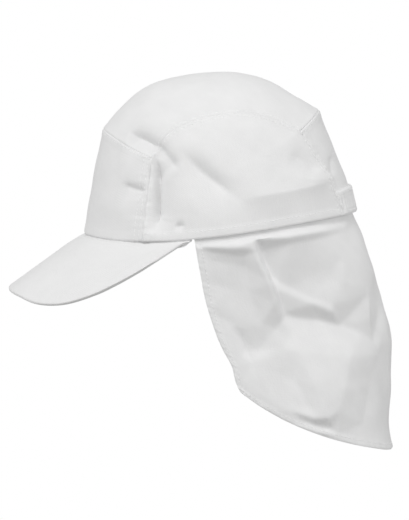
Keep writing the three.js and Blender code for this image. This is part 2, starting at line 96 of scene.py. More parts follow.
# %% Light, world and floor
STUDIO_ABOVE = 0.56  # strength of the light from straight above
STUDIO_BELOW = 0.46  # and from straight below
KEY_PLACE = (1.38, -0.35, 1.45)  # metres, beside the cap and above it
KEY_WATTS = 15
FRONT_PLACE = (0.7, -1.6, 0.4)
FRONT_WATTS = 2.5
BACK_PLACE = (0.9, 1.5, 0.35)
BACK_WATTS = 5
LAMP_SIZE = 0.7
FLOOR_DROP = 1.0  # metres from the rim down to the floor
FLOOR_HALF = 2.2  # metres from its middle to its edge
FLOOR_HEX = "#c9c9c8"
WHITE_HEX = "#ffffff"


def linear(hex_colour):
    """The linear colour of an sRGB hex value, with alpha."""
    parts = [int(hex_colour[i : i + 2], 16) / 255 for i in (1, 3, 5)]
    return [x / 12.92 if x <= 0.04045 else ((x + 0.055) / 1.055) ** 2.4 for x in parts] + [1]


def socket_called(sockets, name):
    """The socket with that identifier, or else the one in use with that name."""
    if isinstance(name, int):
        return sockets[name]
    for socket in sockets:
        if socket.identifier == name:
            return socket
    return next(socket for socket in sockets if socket.enabled and socket.name == name)


def add_node(tree, kind, inputs=None, **settings):
    """Adds a node. An input is fed from another node's socket, or set to a value."""
    node = tree.nodes.new(kind)
    for name, value in settings.items():
        setattr(node, name, value)
    for name, value in (inputs or {}).items():
        socket = socket_called(node.inputs, name)
        if isinstance(value, bpy.types.NodeSocket):
            tree.links.new(value, socket)
        else:
            socket.default_value = value
    return node


def new_material(name):
    """A material, its node tree and the surface node that the tree starts with."""
    material = bpy.data.materials.new(name)
    material.use_nodes = True
    return material, material.node_tree, material.node_tree.nodes["Principled BSDF"]


def make_world():
    """A studio that is bright above and dimmer below. Past the cap the camera sees plain white."""
    world = bpy.data.worlds.new("white studio")
    world.use_nodes = True
    tree = world.node_tree
    direction = add_node(tree, "ShaderNodeTexCoord").outputs["Generated"]
    height = add_node(tree, "ShaderNodeSeparateXYZ", {"Vector": direction}).outputs["Z"]
    strength = add_node(
        tree,
        "ShaderNodeMapRange",
        {"Value": height, "From Min": -1.0, "To Min": STUDIO_BELOW, "To Max": STUDIO_ABOVE},
    )
    colour = linear(WHITE_HEX)
    studio = add_node(
        tree, "ShaderNodeBackground", {"Color": colour, "Strength": strength.outputs["Result"]}
    )
    white = add_node(tree, "ShaderNodeBackground", {"Color": colour, "Strength": 1.0})
    seen = add_node(tree, "ShaderNodeLightPath").outputs["Is Camera Ray"]
    mixed = add_node(
        tree,
        "ShaderNodeMixShader",
        {"Fac": seen, 1: studio.outputs["Background"], 2: white.outputs["Background"]},
    )
    tree.links.new(mixed.outputs["Shader"], tree.nodes["World Output"].inputs["Surface"])
    bpy.context.scene.world = world


def make_lamp(name, place, watts):
    lamp = add_object(name, bpy.data.lights.new(name, "AREA"))
    lamp.data.size = LAMP_SIZE
    lamp.data.energy = watts
    lamp.location = place
    lamp.rotation_euler = (CAMERA_TARGET - Vector(place)).to_track_quat("-Z", "Y").to_euler()


def make_floor():
    signs = [(-1, -1), (1, -1), (1, 1), (-1, 1)]
    corners = [(x * FLOOR_HALF, y * FLOOR_HALF, -FLOOR_DROP) for x, y in signs]
    mesh = bpy.data.meshes.new("floor")
    mesh.from_pydata(corners, [], [(0, 1, 2, 3)])
    material, _, surface = new_material("matte studio floor")
    surface.inputs["Base Color"].default_value = linear(FLOOR_HEX)
    surface.inputs["Roughness"].default_value = 0.95
    mesh.materials.append(material)
    floor = add_object("floor", mesh)


bpy.context.scene.view_settings.view_transform = "Standard"
make_world()
make_lamp("key", KEY_PLACE, KEY_WATTS)
make_lamp("front fill", FRONT_PLACE, FRONT_WATTS)
make_lamp("back fill", BACK_PLACE, BACK_WATTS)
make_floor()
print("white world, three soft lamps and a pale floor")

# %% [markdown]
# The cloth is cotton drill: a dense twill, bleached white, with a matt face. Drill has about 20 diagonal
# wales to the centimetre. Those are finer than a pixel here, so the wales are drawn a little more than a
# millimetre apart, which still reads as cloth. Under them lies a noise of slubs, the thick places of a
# yarn, and colour hardly varies, because bleached cotton is even.
#
# The pattern is read from a UV map in millimetres, so it follows each panel as its real threads do.

# %% Cotton drill
DRILL_HEX = "#f1f1f1"
DRILL_SHADE_HEX = "#e8e8e8"  # slightly thinner or duller threads
TIGHT_SHADE_HEX = "#ebebeb"  # the same, stretched smooth over the board of the peak
PAINTED_LIGHT_HEX = "#f3f3f3"  # the drill's colour made lighter as painted light, for the flap and the band, which the lamps leave dimmer than the crown
# its darker mottle colour, made lighter in the same way as painted light
PAINTED_LIGHT_MOTTLE_HEX = "#eaeaea"
WALE_PITCH = 1.2  # mm, real wales are 0.5 mm apart
WALE_ANGLE = math.radians(63)
WALE_WANDER = 1.2  # how unevenly the wales run
SLUB_WIDTH = 1.6  # mm across the yarn
SLUB_SLIMNESS = 0.4  # its width as a share of its length along the yarn
MOTTLE_SIZE = 14.0  # mm
ROUGHNESS = (0.82, 0.98)  # of smooth and of fuzzy yarn
WAVE_REPEAT = math.pi / 10  # a wave texture repeats after this length at scale 1
UV_NAME = "millimetres"


def cotton_drill(name, colour, shade, wale_depth, slub_depth, sheen):
    """Bleached cotton drill, woven: matt, with a faint fuzz that lights up at grazing angles.

    Both depths are in millimetres.
    """
    material, tree, surface = new_material(name)
    place = add_node(tree, "ShaderNodeUVMap", uv_map=UV_NAME).outputs["UV"]
    turned = add_node(tree, "ShaderNodeMapping", {"Vector": place, "Rotation": (0, 0, WALE_ANGLE)})
    wales = add_node(
        tree,
        "ShaderNodeTexWave",
        {
            "Vector": turned.outputs["Vector"],
            "Scale": WAVE_REPEAT / WALE_PITCH,
            "Distortion": WALE_WANDER,
            "Detail Scale": 2.0,
        },
        wave_type="BANDS",
    )
    stretched = add_node(tree, "ShaderNodeMapping", {"Vector": place, "Scale": (1, SLUB_SLIMNESS, 1)})
    slubs = add_node(
        tree,
        "ShaderNodeTexNoise",
        {"Vector": stretched.outputs["Vector"], "Scale": 1 / SLUB_WIDTH, "Detail": 3.0},
    )
    mottle = add_node(
        tree, "ShaderNodeTexNoise", {"Vector": place, "Scale": 1 / MOTTLE_SIZE, "Detail": 4.0}
    )
    mixed = add_node(
        tree,
        "ShaderNodeMix",
        {"Factor_Float": mottle.outputs["Fac"], "A_Color": linear(colour), "B_Color": linear(shade)},
        data_type="RGBA",
    )
    rough = add_node(
        tree,
        "ShaderNodeMapRange",
        {"Value": slubs.outputs["Fac"], "To Min": ROUGHNESS[0], "To Max": ROUGHNESS[1]},
    )
    yarn = add_node(
        tree,
        "ShaderNodeBump",
        {"Height": slubs.outputs["Fac"], "Distance": slub_depth * MM, "Strength": 1.0},
    )
    weave = add_node(
        tree,
        "ShaderNodeBump",
        {
            "Height": wales.outputs["Fac"],
            "Distance": wale_depth * MM,
            "Strength": 1.0,
            "Normal": yarn.outputs["Normal"],
        },
    )
    tree.links.new(socket_called(mixed.outputs, "Result_Color"), surface.inputs["Base Color"])
    tree.links.new(rough.outputs["Result"], surface.inputs["Roughness"])
    tree.links.new(weave.outputs["Normal"], surface.inputs["Normal"])
    surface.inputs["IOR"].default_value = 1.5
    surface.inputs["Specular IOR Level"].default_value = 0.25
    surface.inputs["Sheen Weight"].default_value = sheen
    surface.inputs["Sheen Roughness"].default_value = 0.6
    return material


crown_drill = cotton_drill(
    "cotton drill, crown", DRILL_HEX, DRILL_SHADE_HEX, wale_depth=0.05, slub_depth=0.10, sheen=0.12
)
# the band's lighter colours are painted light
band_drill = cotton_drill(
    "cotton drill, band casing", PAINTED_LIGHT_HEX, PAINTED_LIGHT_MOTTLE_HEX, wale_depth=0.05, slub_depth=0.12, sheen=0.12
)
peak_drill = cotton_drill(
    "cotton drill on board, peak", DRILL_HEX, TIGHT_SHADE_HEX, wale_depth=0.03, slub_depth=0.05, sheen=0.10
)
# the flap's lighter colours are painted light
flap_drill = cotton_drill(
    "cotton drill, soft flap", PAINTED_LIGHT_HEX, PAINTED_LIGHT_MOTTLE_HEX, wale_depth=0.02, slub_depth=0.10, sheen=0.14
)
print("four finishes of drill")

# %% [markdown]
# Sewing thread is polyester core spun with cotton: whiter than the cloth and a little glossier, with a
# twist that shows as fine slanting ribs. A stitch is only half a millimetre thick, so the twist is drawn
# with one wave across each stitch.

# %% Sewing thread
THREAD_HEX = "#f4f4f4"
TWIST_PITCH = 0.6  # mm
TWIST_DEPTH = 0.05  # mm


def spun_thread():
    """Core-spun sewing thread: smoother than the cloth, so that each stitch catches a soft light."""
    material, tree, surface = new_material("core-spun sewing thread")
    place = add_node(tree, "ShaderNodeTexCoord").outputs["Object"]
    twist = add_node(
        tree,
        "ShaderNodeTexWave",
        {"Vector": place, "Scale": WAVE_REPEAT / (TWIST_PITCH * MM), "Distortion": 0.5},
        bands_direction="DIAGONAL",
    )
    ribs = add_node(
        tree, "ShaderNodeBump", {"Height": twist.outputs["Fac"], "Distance": TWIST_DEPTH * MM}
    )
    tree.links.new(ribs.outputs["Normal"], surface.inputs["Normal"])
    surface.inputs["Base Color"].default_value = linear(THREAD_HEX)
    surface.inputs["Roughness"].default_value = 0.65
    surface.inputs["Sheen Weight"].default_value = 0.1
    return material


thread = spun_thread()
print("thread finish")

# %% [markdown]
# The cap's shape comes from a few tables, the same as the solids have. The crown seen from above is a
# disc, and each row of the table is one section of it: how far it reaches to the front, the side and
# the back, and how high it lies there, as shares of the whole. A smooth curve joins the rows.

# %% Sizes and the crown's surface
CROWN_HEIGHT = 109.8  # mm from the rim plane to the top
FRONT_REACH = 101.8  # mm from the middle of the rim to its front
BACK_REACH = 98.5
HALF_WIDTH = 83.0
RIM_DIP = 5.0  # mm that the rim sinks at the sides
DIP_FROM = 0.4  # level below which the crown sinks with it
PANEL_WALL = 1.3
SEAM_ROW = 4  # the row where the top panel meets the front and the back panel at an angle
SECTIONS = {
    "level": [0, 0.14, 0.28, 0.42, 0.555, 0.7, 0.85, 1],
    "front": [0, 0.225, 0.43, 0.622, 0.803, 0.886, 0.95, 1],
    "front_up": [1, 0.992, 0.953, 0.853, 0.685, 0.433, 0.214, 0],
    "side": [0, 0.325, 0.596, 0.807, 0.924, 0.967, 0.992, 1],
    "side_up": [1, 0.94, 0.798, 0.612, 0.391, 0.254, 0.11, 0],
    "back": [0, 0.218, 0.428, 0.622, 0.788, 0.88, 0.96, 1],
    "back_up": [1, 0.984, 0.918, 0.801, 0.694, 0.434, 0.216, 0],
}
SEAM_LEVEL = SECTIONS["level"][SEAM_ROW]


def ease(t):
    """From 0 to 1 with a level start and end."""
    t = np.clip(t, 0, 1)
    return t * t * (3 - 2 * t)


def curve_through(x, y, at, level=False, sharp=-1):
    """A smooth curve through points, if asked level at its start or with an angle at one row."""
    x, y, at = np.asarray(x, float), np.asarray(y, float), np.asarray(at, float)
    slope = np.diff(y) / np.diff(x)
    leaving, reaching = np.append(slope, slope[-1]), np.insert(slope, 0, slope[0])
    middle = (y[2:] - y[:-2]) / (x[2:] - x[:-2])
    smooth_rows = [row for row in range(1, len(x) - 1) if row != sharp]
    for row in smooth_rows:
        leaving[row] = reaching[row] = middle[row - 1]
    if level:
        leaving[0] = 0
    i = np.clip(np.searchsorted(x, at) - 1, 0, len(x) - 2)
    step = x[i + 1] - x[i]
    t = np.clip((at - x[i]) / step, 0, 1)
    from_start = (2 * t**3 - 3 * t**2 + 1) * y[i] + (t**3 - 2 * t**2 + t) * step * leaving[i]
    to_end = (3 * t**2 - 2 * t**3) * y[i + 1] + (t**3 - t**2) * step * reaching[i + 1]
    return from_start + to_end


def smooth_crown(ear, back):
    """Points of the crown without creases, from places on the disc, in millimetres."""
    level = np.maximum(np.hypot(ear, back), 1e-9)
    to_side, to_front = ear / level, -back / level

    def column(name):
        sharp = -1 if name.startswith("side") else SEAM_ROW
        return curve_through(SECTIONS["level"], SECTIONS[name], level, name.endswith("_up"), sharp)

    is_front = to_front >= 0
    reach = np.where(is_front, FRONT_REACH * column("front"), BACK_REACH * column("back"))
    middle_up = np.where(is_front, column("front_up"), column("back_up"))
    up = middle_up * to_front**2 + column("side_up") * to_side**2
    dip = RIM_DIP * to_side**2 * (1 + to_front) * ease((level - DIP_FROM) / (1 - DIP_FROM))
    across = HALF_WIDTH * column("side") * to_side
    return np.stack([across, -reach * to_front, up * CROWN_HEIGHT - dip], axis=-1)


def unit(vectors):
    """The same directions with length 1."""
    return vectors / np.maximum(np.linalg.norm(vectors, axis=-1, keepdims=True), 1e-12)


def crown_normal(ear, back, nudge=0.012):
    """Outward directions of the crown, turning gradually where two panels meet at an angle."""
    along_ear = smooth_crown(ear + nudge, back) - smooth_crown(ear - nudge, back)
    along_back = smooth_crown(ear, back + nudge) - smooth_crown(ear, back - nudge)
    return unit(np.cross(along_ear, along_back))


print("crown top at", np.round(smooth_crown(np.array(0.0), np.array(0.0)), 1), "mm")

# %% [markdown]
# Creases make white cloth look real, and each one here is a line drawn in the side view with a height
# and a width on either side of it. A narrow side falls steeply and catches shade, a wide side is gentle.
# A positive height is a ridge, a negative one a valley. Above means the left hand of the line's way.
#
# A cloth simulation would also give folds, but never these ones, and the same ones at each run matter.

# %% Folds as lines
SIDE_FADE = HALF_WIDTH / 3  # mm from the middle of the cap over which one side's folds begin
FOLD_TAPER = 0.3  # share of a fold over which each end fades, if its row gives none
FOLD_ROUND = 1.4  # how blunt a fold is, if its row gives nothing: 1 is a crease, 2 a soft roll
WAVE_COUNT = 14
WAVE_SPREAD = (0.6, 1.8)  # shortest and longest wave, as shares of the length asked for


def fold_height(fold, y, z):
    """Height of one fold at places of the side view. It fades out towards both ends."""
    points = np.array(fold["line"], float)
    lengths = np.linalg.norm(np.diff(points, axis=0), axis=1)
    total = lengths.sum()
    nearest = np.full(np.shape(y), np.inf)
    signed = np.zeros(np.shape(y))
    reached = np.zeros(np.shape(y))
    done = 0.0
    for (y0, z0), (y1, z1), length in zip(points[:-1], points[1:], lengths):
        dy, dz = (y1 - y0) / length, (z1 - z0) / length
        share = np.clip((y - y0) * dy + (z - z0) * dz, 0, length)
        off_y, off_z = y - y0 - share * dy, z - z0 - share * dz
        distance = np.hypot(off_y, off_z)
        is_nearer = distance < nearest
        nearest = np.where(is_nearer, distance, nearest)
        signed = np.where(is_nearer, dy * off_z - dz * off_y, signed)
        reached = np.where(is_nearer, done + share, reached)
        done += length
    width = np.where(signed > 0, fold["above"], fold["below"])
    taper = fold.get("taper", FOLD_TAPER) * total
    fade = ease(reached / taper) * ease((total - reached) / taper)
    return fold["rise"] * fade * np.exp(-((nearest / width) ** fold.get("round", FOLD_ROUND)))


def folds_height(folds, y, z):
    return sum(fold_height(fold, y, z) for fold in folds)


def by_side(points, left, right):
    """One table for the left side and one for the right, fading out at the middle of the cap."""
    x, y, z = points[..., 0], points[..., 1], points[..., 2]
    on_left = ease(x / SIDE_FADE) * folds_height(left, y, z)
    return on_left + ease(-x / SIDE_FADE) * folds_height(right, y, z)


def gentle_waves(points, seed, length, height):
    """A sum of a few plane waves in random directions: cloth that is never quite smooth."""
    chance = np.random.default_rng(seed)
    waves = np.zeros(points.shape[:-1])
    for _ in range(WAVE_COUNT):
        direction = unit(chance.normal(size=3))
        wave_length = length * chance.uniform(*WAVE_SPREAD)
        phase = chance.uniform(0, 2 * math.pi)
        waves += np.sin(points @ direction * (2 * math.pi / wave_length) + phase)
    return waves * height / math.sqrt(WAVE_COUNT)


# %% Creases of the crown
LEFT_CREASES = [
    {"line": [(-44, 65), (-36, 55), (-28, 43)], "rise": -5.6, "above": 2.8, "below": 11, "round": 1.0},
    {"line": [(-30, 60), (-15, 45), (0, 31), (17, 15)], "rise": -6.2, "above": 5, "below": 14,
     "round": 1.2, "taper": 0.45},
    {"line": [(12, 19), (30, 20.5), (49, 21.5), (84, 25)], "rise": 3.4, "above": 16, "below": 9,
     "round": 1.1},
    {"line": [(-51, -2), (-47.5, 10), (-46.5, 30), (-44, 56)], "rise": -10.5, "above": 3.2, "below": 7,
     "round": 0.9},
    {"line": [(-34, 5), (-30.8, 4), (-27, 4.3)], "rise": -2.6, "above": 2.2, "below": 2.6},
    {"line": [(-71, 35.5), (-62, 32.5), (-52, 29)], "rise": -4.2, "above": 2.4, "below": 9,
     "round": 1.0},
    {"line": [(-62, 72), (-51, 67), (-40, 60)], "rise": -7.0, "above": 2.6, "below": 11, "round": 1.0},
    {"line": [(50, 48), (60, 42), (71, 31)], "rise": -1.8, "above": 5, "below": 7},
    {"line": [(81, 28), (82, 44)], "rise": -1.2, "above": 2.5, "below": 2.5},
    {"line": [(20, 52), (38, 44), (48, 32)], "rise": -1.0, "above": 8, "below": 9},
    {"line": [(52, 31), (66, 27), (84, 27)], "rise": 1.0, "above": 5, "below": 4},
]
RIGHT_CREASES = [
    {"line": [(-40, 58), (-20, 40), (6, 20)], "rise": -2.2, "above": 6, "below": 9},
    {"line": [(10, 30), (40, 26), (76, 20)], "rise": 1.6, "above": 12, "below": 6},
    {"line": [(-60, 72), (-40, 56)], "rise": -1.8, "above": 4, "below": 5},
    {"line": [(30, 64), (58, 44)], "rise": -1.4, "above": 6, "below": 8},
    {"line": [(-42, 16), (-41, 44)], "rise": -1.8, "above": 2.5, "below": 2.5},
]
print(len(LEFT_CREASES), "creases on the left of the crown,", len(RIGHT_CREASES), "on the right")

# %% [markdown]
# Where two panels are sewn, three things show: a narrow groove at the join, a raised strip where the
# allowance is folded under, and a row of stitches that pulls the cloth down and puckers it. Each kind
# of edge is one row of numbers in millimetres, and its height depends only on the distance to the edge.

# %% Seams as heights
GROOVE_WIDTH = 0.6
STITCH_DIP = 0.28  # how deep a row of stitches pulls the cloth down
STITCH_DIP_WIDTH = 0.55
TWIN = {"groove": 0.4, "raised": 0.5, "flat": 3.2, "fade": 3.6, "rows": (2.6,), "pucker": 0.16}
FRONT_SIDE = {"groove": 0.5, "raised": 0.3, "flat": 7.8, "fade": 4.0, "rows": (3.7, 7.6), "pucker": 0.2}
SIDE_RIDGE = {"groove": 0.8, "raised": 2.0, "flat": 2.6, "fade": 3.4, "rows": (), "pucker": 0.25}
PLAIN_JOIN = {"groove": 0.7, "raised": 0.2, "flat": 2.0, "fade": 3.0, "rows": (), "pucker": 0.08}
ROW_BELOW = {"groove": 0.6, "raised": 0.35, "flat": 3.0, "fade": 3.0, "rows": (2.2,), "pucker": 0.1}
RIM = {"groove": 0.5, "raised": 0.45, "flat": 5.4, "fade": 1.6, "rows": (5.4,), "pucker": 0.16}
RIM_PLAIN = {"groove": 0.5, "raised": 0.2, "flat": 4.0, "fade": 3.0, "rows": (), "pucker": 0.08}
PUCKER_LENGTH = 6.5  # mm from one pucker to the next
PUCKER_SHARES = (0.7, 1.0, 1.45, 2.2)  # lengths of the waves that add up to it
PUCKER_SUM = 2.5  # about the most that these waves reach together


def pucker(along, seed):
    """Uneven ripples along a seam, from -1 to 1."""
    chance = np.random.default_rng(seed)
    total = np.zeros(np.shape(along))
    for share in PUCKER_SHARES:
        phase = chance.uniform(0, 2 * math.pi)
        total += np.sin(along * (2 * math.pi / (PUCKER_LENGTH * share)) + phase)
    return total / PUCKER_SUM


def seam_height(seam, away, along, seed):
    """Height of the cloth beside an edge, from the distance away from it and the place along it."""
    groove = -seam["groove"] * np.exp(-((away / GROOVE_WIDTH) ** 2))
    raised = 1 - ease((away - seam["flat"]) / seam["fade"])
    dips = sum(np.exp(-(((away - row) / STITCH_DIP_WIDTH) ** 2)) for row in seam["rows"])
    reach = seam["flat"] + seam["fade"]
    ripples = seam["pucker"] * pucker(along, seed) * np.exp(-((away / reach) ** 2))
    return groove + seam["raised"] * raised - STITCH_DIP * dips + ripples


print("seam kinds: twin, front side, ridge, plain, row below, rim")

# %% [markdown]
# Each cloth piece is a closed wall over a grid: an outer face, an inner face and the strips that join
# them at the edges. The grid's rows lie close together near an edge, where the seam's groove is.
# The UV map holds the length along the grid's lines, so threads run as they do on the flat pattern.

# %% Grids and closed walls
GRID_STEP = 1.25  # mm between lines of the grid
EDGE_ROWS = (0, 0.3, 0.65, 1.1, 1.7, 2.4)  # mm from an edge
SHARP_ANGLE = math.radians(55)  # edges that bend more stay crisp


@dataclass
class Cloth:
    """A grid of points on a piece's outer face, with its directions and its lengths along both ways."""

    points: np.ndarray
    outward: np.ndarray
    along_u: np.ndarray
    along_v: np.ndarray

    def from_edge(self, edge):
        """Distance from an edge of the grid, and the place along that edge."""
        return {
            "bottom": (self.along_v, self.along_u),
            "top": (self.along_v[:, -1:] - self.along_v, self.along_u),
            "start": (self.along_u, self.along_v),
            "end": (self.along_u[-1:, :] - self.along_u, self.along_v),
        }[edge]


def spaced(length, step=GRID_STEP):
    """Shares of a length, close together near both ends."""
    near = np.array(EDGE_ROWS, float)
    count = max(2, round((length - 2 * near[-1]) / step))
    middle = np.linspace(near[-1], length - near[-1], count + 1)
    return np.concatenate([near[:-1], middle, length - near[:-1][::-1]]) / length


def running_length(points, axis):
    """Length along the grid's lines from their start."""
    steps = np.linalg.norm(np.diff(points, axis=axis), axis=-1)
    first = np.zeros_like(np.take(steps, [0], axis=axis))
    return np.concatenate([first, np.cumsum(steps, axis=axis)], axis=axis)


def measured(points, outward):
    return Cloth(points, outward, running_length(points, 0), running_length(points, 1))


def grid_outward(points):
    """Outward directions of a grid from its own lines."""
    return unit(np.cross(np.gradient(points, axis=0), np.gradient(points, axis=1)))


def wall_mesh(name, outer, inner, uv, material):
    """A closed mesh between two grids of the same size, in metres, with its UV map in millimetres."""
    rows, columns = outer.shape[:2]
    number = np.arange(rows * columns).reshape(rows, columns)
    corners = [number[:-1, :-1], number[1:, :-1], number[1:, 1:], number[:-1, 1:]]
    face = np.stack([c.ravel() for c in corners], axis=1)
    under = face[:, ::-1] + rows * columns
    rim = np.concatenate([number[:-1, 0], number[-1, :-1], number[:0:-1, -1], number[0, :0:-1]])
    following = np.roll(rim, -1)
    strip = np.stack([following, rim, rim + rows * columns, following + rows * columns], axis=1)
    vertices = np.concatenate([outer.reshape(-1, 3), inner.reshape(-1, 3)]) * MM
    faces = np.concatenate([face, under, strip])
    mesh = bpy.data.meshes.new(name)
    mesh.from_pydata(vertices.tolist(), [], faces.tolist())
    layer = mesh.uv_layers.new(name=UV_NAME)
    both = np.tile(uv.reshape(-1, 2), (2, 1))
    layer.data.foreach_set("uv", both[faces.ravel()].astype(np.float32).ravel())
    mesh.shade_smooth()
    mesh.set_sharp_from_angle(angle=SHARP_ANGLE)
    mesh.materials.append(material)
    return add_object(name, mesh)


def cloth_uv(cloth):
    """Lengths along both ways, measured from the middle of the grid so that threads stay straight."""
    middle_u = cloth.along_u[:, cloth.along_u.shape[1] // 2][:, None]
    middle_v = cloth.along_v[cloth.along_v.shape[0] // 2, :][None, :]
    u = cloth.along_u - cloth.along_u[-1:, :] / 2 + middle_u[-1:, :] / 2
    v = cloth.along_v * 0.5 + middle_v * 0.5
    return np.stack([u, v], axis=-1)


def report(piece):
    """Prints how fine a finished piece is."""
    print(piece.name, len(piece.data.vertices), "vertices")


print(len(spaced(100)), "lines of the grid on 100 mm of cloth")

# %% [markdown]
# A panel is the part of the disc inside four curves: an arc of the rim, the seams at its sides and the
# seam at its top. The curved seam over the ear is the one line that people know this cap by.

# %% Curves round the panels
FRONT_SEAM_ANGLE = 56  # degrees round the rim from its front
BACK_SEAM_ANGLE = 150
ARCH_EAR = [0.453, 0.408, 0.378, 0.356, 0.342, 0.338, 0.343, 0.352]
ARCH_BACK = [-0.3206, -0.256, -0.163, -0.045, 0.085, 0.205, 0.325, 0.43]
FRONT_CORNER = np.array([ARCH_EAR[0], ARCH_BACK[0]])
BACK_CORNER = np.array([ARCH_EAR[-1], ARCH_BACK[-1]])
MIRROR = np.array([-1, 1])
MEASURE_STEPS = 30  # steps of a measured line in each half of a panel


def on_rim(degrees):
    angle = np.radians(degrees)
    return np.stack([np.sin(angle), -np.cos(angle)], axis=-1)


def rim_arc(start, end):
    return lambda t: on_rim(start + (end - start) * t)


def straight(start, end):
    return lambda t: start + (end - start) * t[..., None]


def arch(t):
    place = t * (len(ARCH_EAR) - 1)
    knots = range(len(ARCH_EAR))
    return np.stack([curve_through(knots, row, place) for row in (ARCH_EAR, ARCH_BACK)], axis=-1)


def cross_seam(corner, middle_angle):
    """The seam between the top panel and the front or back panel, from the right corner to the left."""
    half = math.atan2(corner[0], -corner[1]) - middle_angle
    corner_level = math.hypot(*corner)

    def curve(t):
        share = 2 * t - 1
        level = SEAM_LEVEL + (corner_level - SEAM_LEVEL) * share**2
        angle = middle_angle + half * share
        return np.stack([level * np.sin(angle), -level * np.cos(angle)], axis=-1)

    return curve


def inside_curves(bottom, top, start, end):
    """Places of the disc inside four curves, for each pair of shares u and v."""
    ends = np.array([0.0, 1.0])
    low_ends, high_ends = bottom(ends), top(ends)

    def plan(u, v):
        up, across = v[None, :, None], u[:, None, None]
        between = bottom(u)[:, None] * (1 - up) + top(u)[:, None] * up
        near = low_ends[0] * (1 - up) + high_ends[0] * up
        far = low_ends[1] * (1 - up) + high_ends[1] * up
        sides = start(v)[None] * (1 - across) + end(v)[None] * across
        return sides + between - near * (1 - across) - far * across

    return plan


def panel_lengths(plan):
    """Lengths of a panel through its middle, both ways."""
    fine = np.linspace(0, 1, 2 * MEASURE_STEPS + 1)
    disc = plan(fine, fine)
    points = smooth_crown(disc[..., 0], disc[..., 1])
    across, up = running_length(points, 0), running_length(points, 1)
    return across[-1, MEASURE_STEPS], up[MEASURE_STEPS, -1]


print("front seam meets the arch at", FRONT_CORNER, "and the back seam at", BACK_CORNER)

# %% [markdown]
# A panel's outer face lies on the crown's surface, moved by its creases, seams and puckers. Its inner
# face follows the creases only, so the cloth is thicker where an allowance is folded under.

# %% Making a panel
def crown_height(base):
    """Height of the crown's cloth over its smooth surface: its creases and its unevenness."""
    creases = by_side(base, LEFT_CREASES, RIGHT_CREASES)
    sagging = gentle_waves(base, seed=5, length=46, height=0.32)
    return creases + sagging + gentle_waves(base, seed=6, length=15, height=0.07)


def make_panel(name, plan, seams, seed):
    """A crown panel with its seams and creases. Returns the piece and its outer cloth."""
    length_u, length_v = panel_lengths(plan)
    disc = plan(spaced(length_u), spaced(length_v))
    ear, back = disc[..., 0], disc[..., 1]
    base = smooth_crown(ear, back)
    outward = crown_normal(ear, back)
    flat = measured(base, outward)
    creased = crown_height(base)
    sewn = np.zeros(base.shape[:2])
    for number, (edge, seam) in enumerate(seams.items()):
        away, along = flat.from_edge(edge)
        sewn += seam_height(seam, away, along, seed * 10 + number)
    outer = base + outward * (creased + sewn)[..., None]
    inner = base + outward * (creased - PANEL_WALL)[..., None]
    piece = wall_mesh(name, outer, inner, cloth_uv(flat), crown_drill)
    report(piece)
    return piece, measured(outer, grid_outward(outer))


def side_plan(side):
    """The panel under the curved seam, on the left for side 1 and on the right for side -1."""
    flip = np.array([side, 1])
    plan = inside_curves(
        rim_arc(side * FRONT_SEAM_ANGLE, side * BACK_SEAM_ANGLE),
        lambda t: arch(t) * flip,
        straight(on_rim(side * FRONT_SEAM_ANGLE), FRONT_CORNER * flip),
        straight(on_rim(side * BACK_SEAM_ANGLE), BACK_CORNER * flip),
    )
    return plan if side > 0 else lambda u, v: plan(1 - u, v)


def front_plan():
    return inside_curves(
        rim_arc(-FRONT_SEAM_ANGLE, FRONT_SEAM_ANGLE),
        cross_seam(FRONT_CORNER, 0),
        straight(on_rim(-FRONT_SEAM_ANGLE), FRONT_CORNER * MIRROR),
        straight(on_rim(FRONT_SEAM_ANGLE), FRONT_CORNER),
    )


def back_plan():
    """Its grid runs from the wearer's left to the right, so that it faces outwards."""
    plan = inside_curves(
        rim_arc(360 - BACK_SEAM_ANGLE, BACK_SEAM_ANGLE),
        cross_seam(BACK_CORNER, math.pi),
        straight(on_rim(-BACK_SEAM_ANGLE), BACK_CORNER * MIRROR),
        straight(on_rim(BACK_SEAM_ANGLE), BACK_CORNER),
    )
    return lambda u, v: plan(1 - u, v)


def top_plan():
    return inside_curves(
        cross_seam(FRONT_CORNER, 0),
        cross_seam(BACK_CORNER, math.pi),
        lambda t: arch(t) * MIRROR,
        arch,
    )


# %% Crown panels
# Each row is a name, a plan and the seams at its four edges
PANELS = [
    ("cap_front", front_plan(),
     {"bottom": RIM_PLAIN, "top": ROW_BELOW, "start": FRONT_SIDE, "end": FRONT_SIDE}),
    ("cap_top", top_plan(),
     {"bottom": PLAIN_JOIN, "top": PLAIN_JOIN, "start": TWIN, "end": TWIN}),
    ("cap_back", back_plan(),
     {"bottom": RIM_PLAIN, "top": ROW_BELOW, "start": TWIN, "end": TWIN}),
    ("cap_side_left", side_plan(1),
     {"bottom": RIM, "top": TWIN, "start": SIDE_RIDGE, "end": TWIN}),
    ("cap_side_right", side_plan(-1),
     {"bottom": RIM, "top": TWIN, "start": TWIN, "end": SIDE_RIDGE}),
]
panels = [make_panel(*row, seed) for seed, row in enumerate(PANELS, start=1)]
front, top, back, left, right = (piece for piece, cloth in panels)
front_cloth, top_cloth, back_cloth, left_cloth, right_cloth = (cloth for piece, cloth in panels)

# %% [markdown]
# The band at the back is elastic in a casing. Relaxed, it draws its casing into uneven upright gathers,
# deepest halfway up and held flat along both edges. Gathers repeat by a rule, so Geometry Nodes make
# them: the strip is a plain wall, and its outer face sinks between gathers along its own direction.

